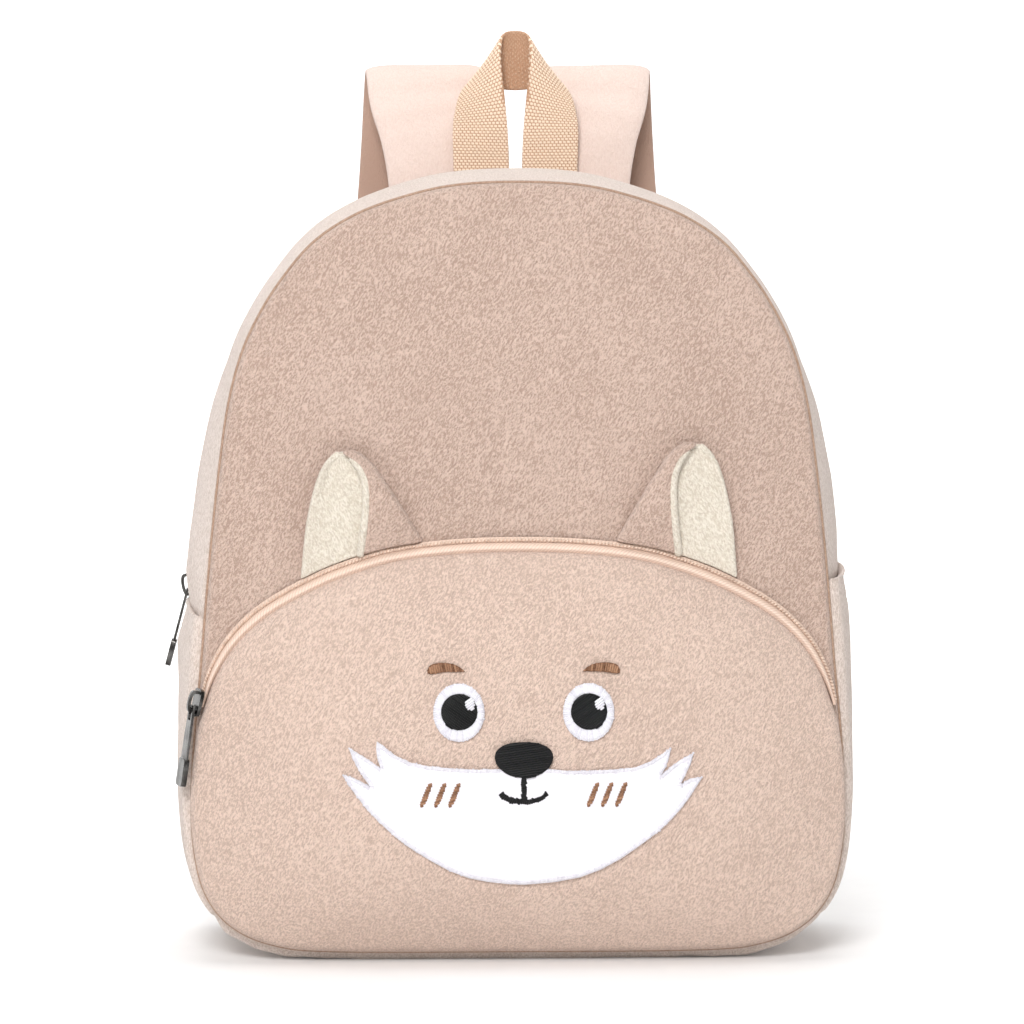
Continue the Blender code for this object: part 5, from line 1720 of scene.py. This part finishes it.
    def brow(self, side: Side) -> list[Piece]:
        """Brown brow, thick outside and tapering towards the middle, sewn across its length."""
        outline = smooth_curve(np.array((*self.brow_rows, self.brow_rows[0]), float), 50)[:-1]
        outline = outline * np.array((side.sign, 1))
        base = self.sew.patch(f"brow_{side.value}_base", outline, 3, 0.35 * MM, 0.5 * MM)
        fill = self.sew.fill(outline, math.radians(78) * side.sign)
        thread = self.sew.stitched(f"brow_{side.value}_fill", [fill], 0.65 * MM, 0.35 * MM)
        return [
            dress(base, "brown_stitch", nodes=(f"brow_{side.value}",)),
            dress(thread, "brown_stitch"),
        ]

    def marks(self, side: Side) -> list[Piece]:
        """Three slanting cheek marks, each a ladder of short stitches."""
        width, length = self.mark_size
        lean = math.tan(self.mark_lean)
        pieces = []
        for number, across in enumerate(self.marks_at, 1):
            rung = np.arange(-length / 2, length / 2, 0.85)
            middle = [side.sign * across + rung * lean, self.mark_height + rung]
            middle = np.stack(middle, axis=1)
            taper = np.sqrt(np.clip(1 - (rung / length * 2) ** 6, 0.2, 1))[:, None]
            half = np.array((width * 0.62, 0.5)) * taper
            name = f"cheek_mark_{side.value}_{number}"
            rungs = [(middle - half, middle + half)]
            piece = self.sew.stitched(f"{name}_thread", rungs, 0.85 * MM, 0.5 * MM)
            pieces.append(dress(piece, "brown_stitch", nodes=(name,)))
        return pieces

    def nose(self) -> list[Piece]:
        """Rounded black triangle, filled with stitches."""
        outline = oval((0, self.nose_at), self.nose_size, 60, 0.85, 0.14)
        base = self.sew.patch("nose_base", outline, 3, 0.95 * MM, 0.7 * MM)
        fill = self.sew.fill(outline, math.radians(8))
        thread = self.sew.stitched("nose_fill", [fill], 1.45 * MM, 0.45 * MM)
        return [dress(base, "black_stitch", nodes=("nose",)), dress(thread, "black_stitch")]

    def mouth(self) -> list[Piece]:
        """Arc with a line up to the nose, as short satin stitches across them."""
        arc = smooth_curve(np.array(self.mouth_rows, float), 25)
        along = unit(np.gradient(arc, axis=0))
        across = np.stack([-along[:, 1] + 0.3 * along[:, 0], along[:, 0]], axis=1) * 1.05
        heights = np.arange(60.8, 69.4, 0.75)
        middle = np.stack([np.zeros_like(heights), heights], axis=1)
        side = np.tile((1.05, 0.3), (len(heights), 1))
        sets = [(arc - across, arc + across), (middle - side, middle + side)]
        piece = self.sew.stitched("mouth_thread", sets, 0.85 * MM, 0.45 * MM)
        return [dress(piece, "black_stitch", nodes=("mouth",))]


# ---------------------------------------------------------------- hard parts and the scene


@dataclass
class Fittings:
    """Sliders, tabs and adjusters: the frame's own solids with their edges rounded."""

    bevel: float = 0.1 * MM
    parts: tuple = (
        # node, finish, body
        ("main_zip_slider", "slider_plating", "bag"),
        ("main_zip_tab", "slider_plating", "main_pull"),
        ("pocket_zip_slider", "slider_plating", "bag"),
        ("pocket_zip_tab", "slider_plating", "pocket_pull"),
        ("adjuster_left", "adjuster_nylon", "bag"),
        ("adjuster_right", "adjuster_nylon", "bag"),
    )

    def build(self) -> list[Piece]:
        """Copies each solid, merges its loose triangles and bevels its sharp edges."""
        pieces = []
        for node, finish, body in self.parts:
            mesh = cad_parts[node].data.copy()
            mesh.name = f"{node}_rounded"
            work = bmesh.new()
            work.from_mesh(mesh)
            bmesh.ops.remove_doubles(work, verts=work.verts, dist=0.005 * MM)
            flat = math.radians(1)
            bmesh.ops.dissolve_limit(work, angle_limit=flat, verts=work.verts, edges=work.edges)
            work.to_mesh(mesh)
            work.free()
            piece = linked(f"{node}_rounded", mesh)
            edge = piece.modifiers.new("edge", "BEVEL")
            edge.width = self.bevel
            edge.segments = 2
            edge.limit_method = "ANGLE"
            edge.angle_limit = math.radians(40)
            mesh.shade_smooth()
            mesh.set_sharp_from_angle(angle=math.radians(35))
            pieces.append(dress(piece, finish, body, (node,)))
        return pieces


@dataclass
class Studio:
    """Pale floor, soft lights and the camera at the photograph's angle."""

    target: tuple = (-0.0024, -0.045, 0.1615)
    azimuth: float = math.radians(-2)
    elevation: float = math.radians(3.5)
    distance: float = 1.6
    lens: float = 157.6

    def build(self) -> None:
        """Places everything that isn't part of the bag."""
        scene = bpy.context.scene
        scene.view_settings.view_transform = "Standard"
        world = scene.world or bpy.data.worlds.new("studio")
        scene.world = world
        world.use_nodes = True
        background = world.node_tree.nodes["Background"]
        background.inputs["Color"].default_value = (1.0, 1.0, 1.0, 1.0)
        background.inputs["Strength"].default_value = 0.36
        self.floor()
        self.light("key", (-0.35, -1.75, 1.15), 0.7, 29.0)
        self.light("top", (0.0, 0.1, 1.75), 1.2, 13.0)
        self.camera()

    def floor(self) -> None:
        """Pale sweep: flat below the bag, curving up behind it."""
        x = np.linspace(-6, 6, 3)
        turn = np.linspace(0, math.pi / 2, 16)
        line = np.vstack([[(-6, 0)], np.stack([2 + np.sin(turn), 1 - np.cos(turn)], 1), [(3, 6)]])
        grid = np.stack(np.broadcast_arrays(x[None, :], line[:, :1], line[:, 1:]), axis=-1)
        piece = mesh_piece("floor", grid, quads(*grid.shape[:2]))
        g = Graph("paper")
        fleck = g.noise(40, 2)
        dark, light = (0.93, 0.93, 0.93, 1), (0.95, 0.95, 0.95, 1)
        colour = g.mix(g.spread(fleck, 0.3, 0.7, 0.0, 1.0), dark, light)
        behind = g.add("ShaderNodeSeparateXYZ", {0: g.place}).outputs["Y"]
        lit = g.spread(behind, 0.1, 0.7, 0.03, 0.62)
        glow = {"Emission_Color": (1.0, 1.0, 1.0, 1.0), "Emission_Strength": lit}
        paper = g.finish(colour, g.bump(fleck, 0.0001, 0.05), Roughness=0.9, **glow)
        piece.data.materials.append(paper)

    def light(self, name: str, place: tuple, size: float, power: float) -> None:
        """Square area light that looks at the bag's middle."""
        lamp = bpy.data.lights.new(name, "AREA")
        lamp.size = size
        lamp.energy = power
        thing = linked(name, lamp)
        thing.location = place
        look = Vector(MIDDLE) - Vector(place)
        thing.rotation_euler = look.to_track_quat("-Z", "Y").to_euler()

    def camera(self) -> None:
        """Long lens, a little above the bag's middle and a little to its left."""
        level = self.distance * math.cos(self.elevation)
        shift = (
            level * math.sin(self.azimuth),
            -level * math.cos(self.azimuth),
            self.distance * math.sin(self.elevation),
        )
        data = bpy.data.cameras.new("camera")
        data.lens = self.lens
        data.sensor_width = 36.0
        data.sensor_fit = "HORIZONTAL"
        thing = linked("camera", data)
        thing.location = Vector(self.target) + Vector(shift)
        thing.rotation_euler = (-Vector(shift)).to_track_quat("-Z", "Y").to_euler()
        bpy.context.scene.camera = thing


def main() -> None:
    """Builds every sub-assembly in order and reports its pieces."""
    logging.basicConfig(level=logging.INFO, format="%(name)s: %(message)s")
    Studio().build()
    body = BagBody()
    builders = [body, MainZip(body), FrontPocket()]
    builders += [SidePocket(side) for side in Side] + [Ear(side) for side in Side]
    builders += [Handle()] + [ShoulderStrap(side) for side in Side] + [Face(), Fittings()]
    for builder in builders:
        made = builder.build()
        count = len(made) if isinstance(made, list) else 1
        LOG.info("%s: %d pieces", type(builder).__name__, count)


if __name__ == "__main__":
    main()
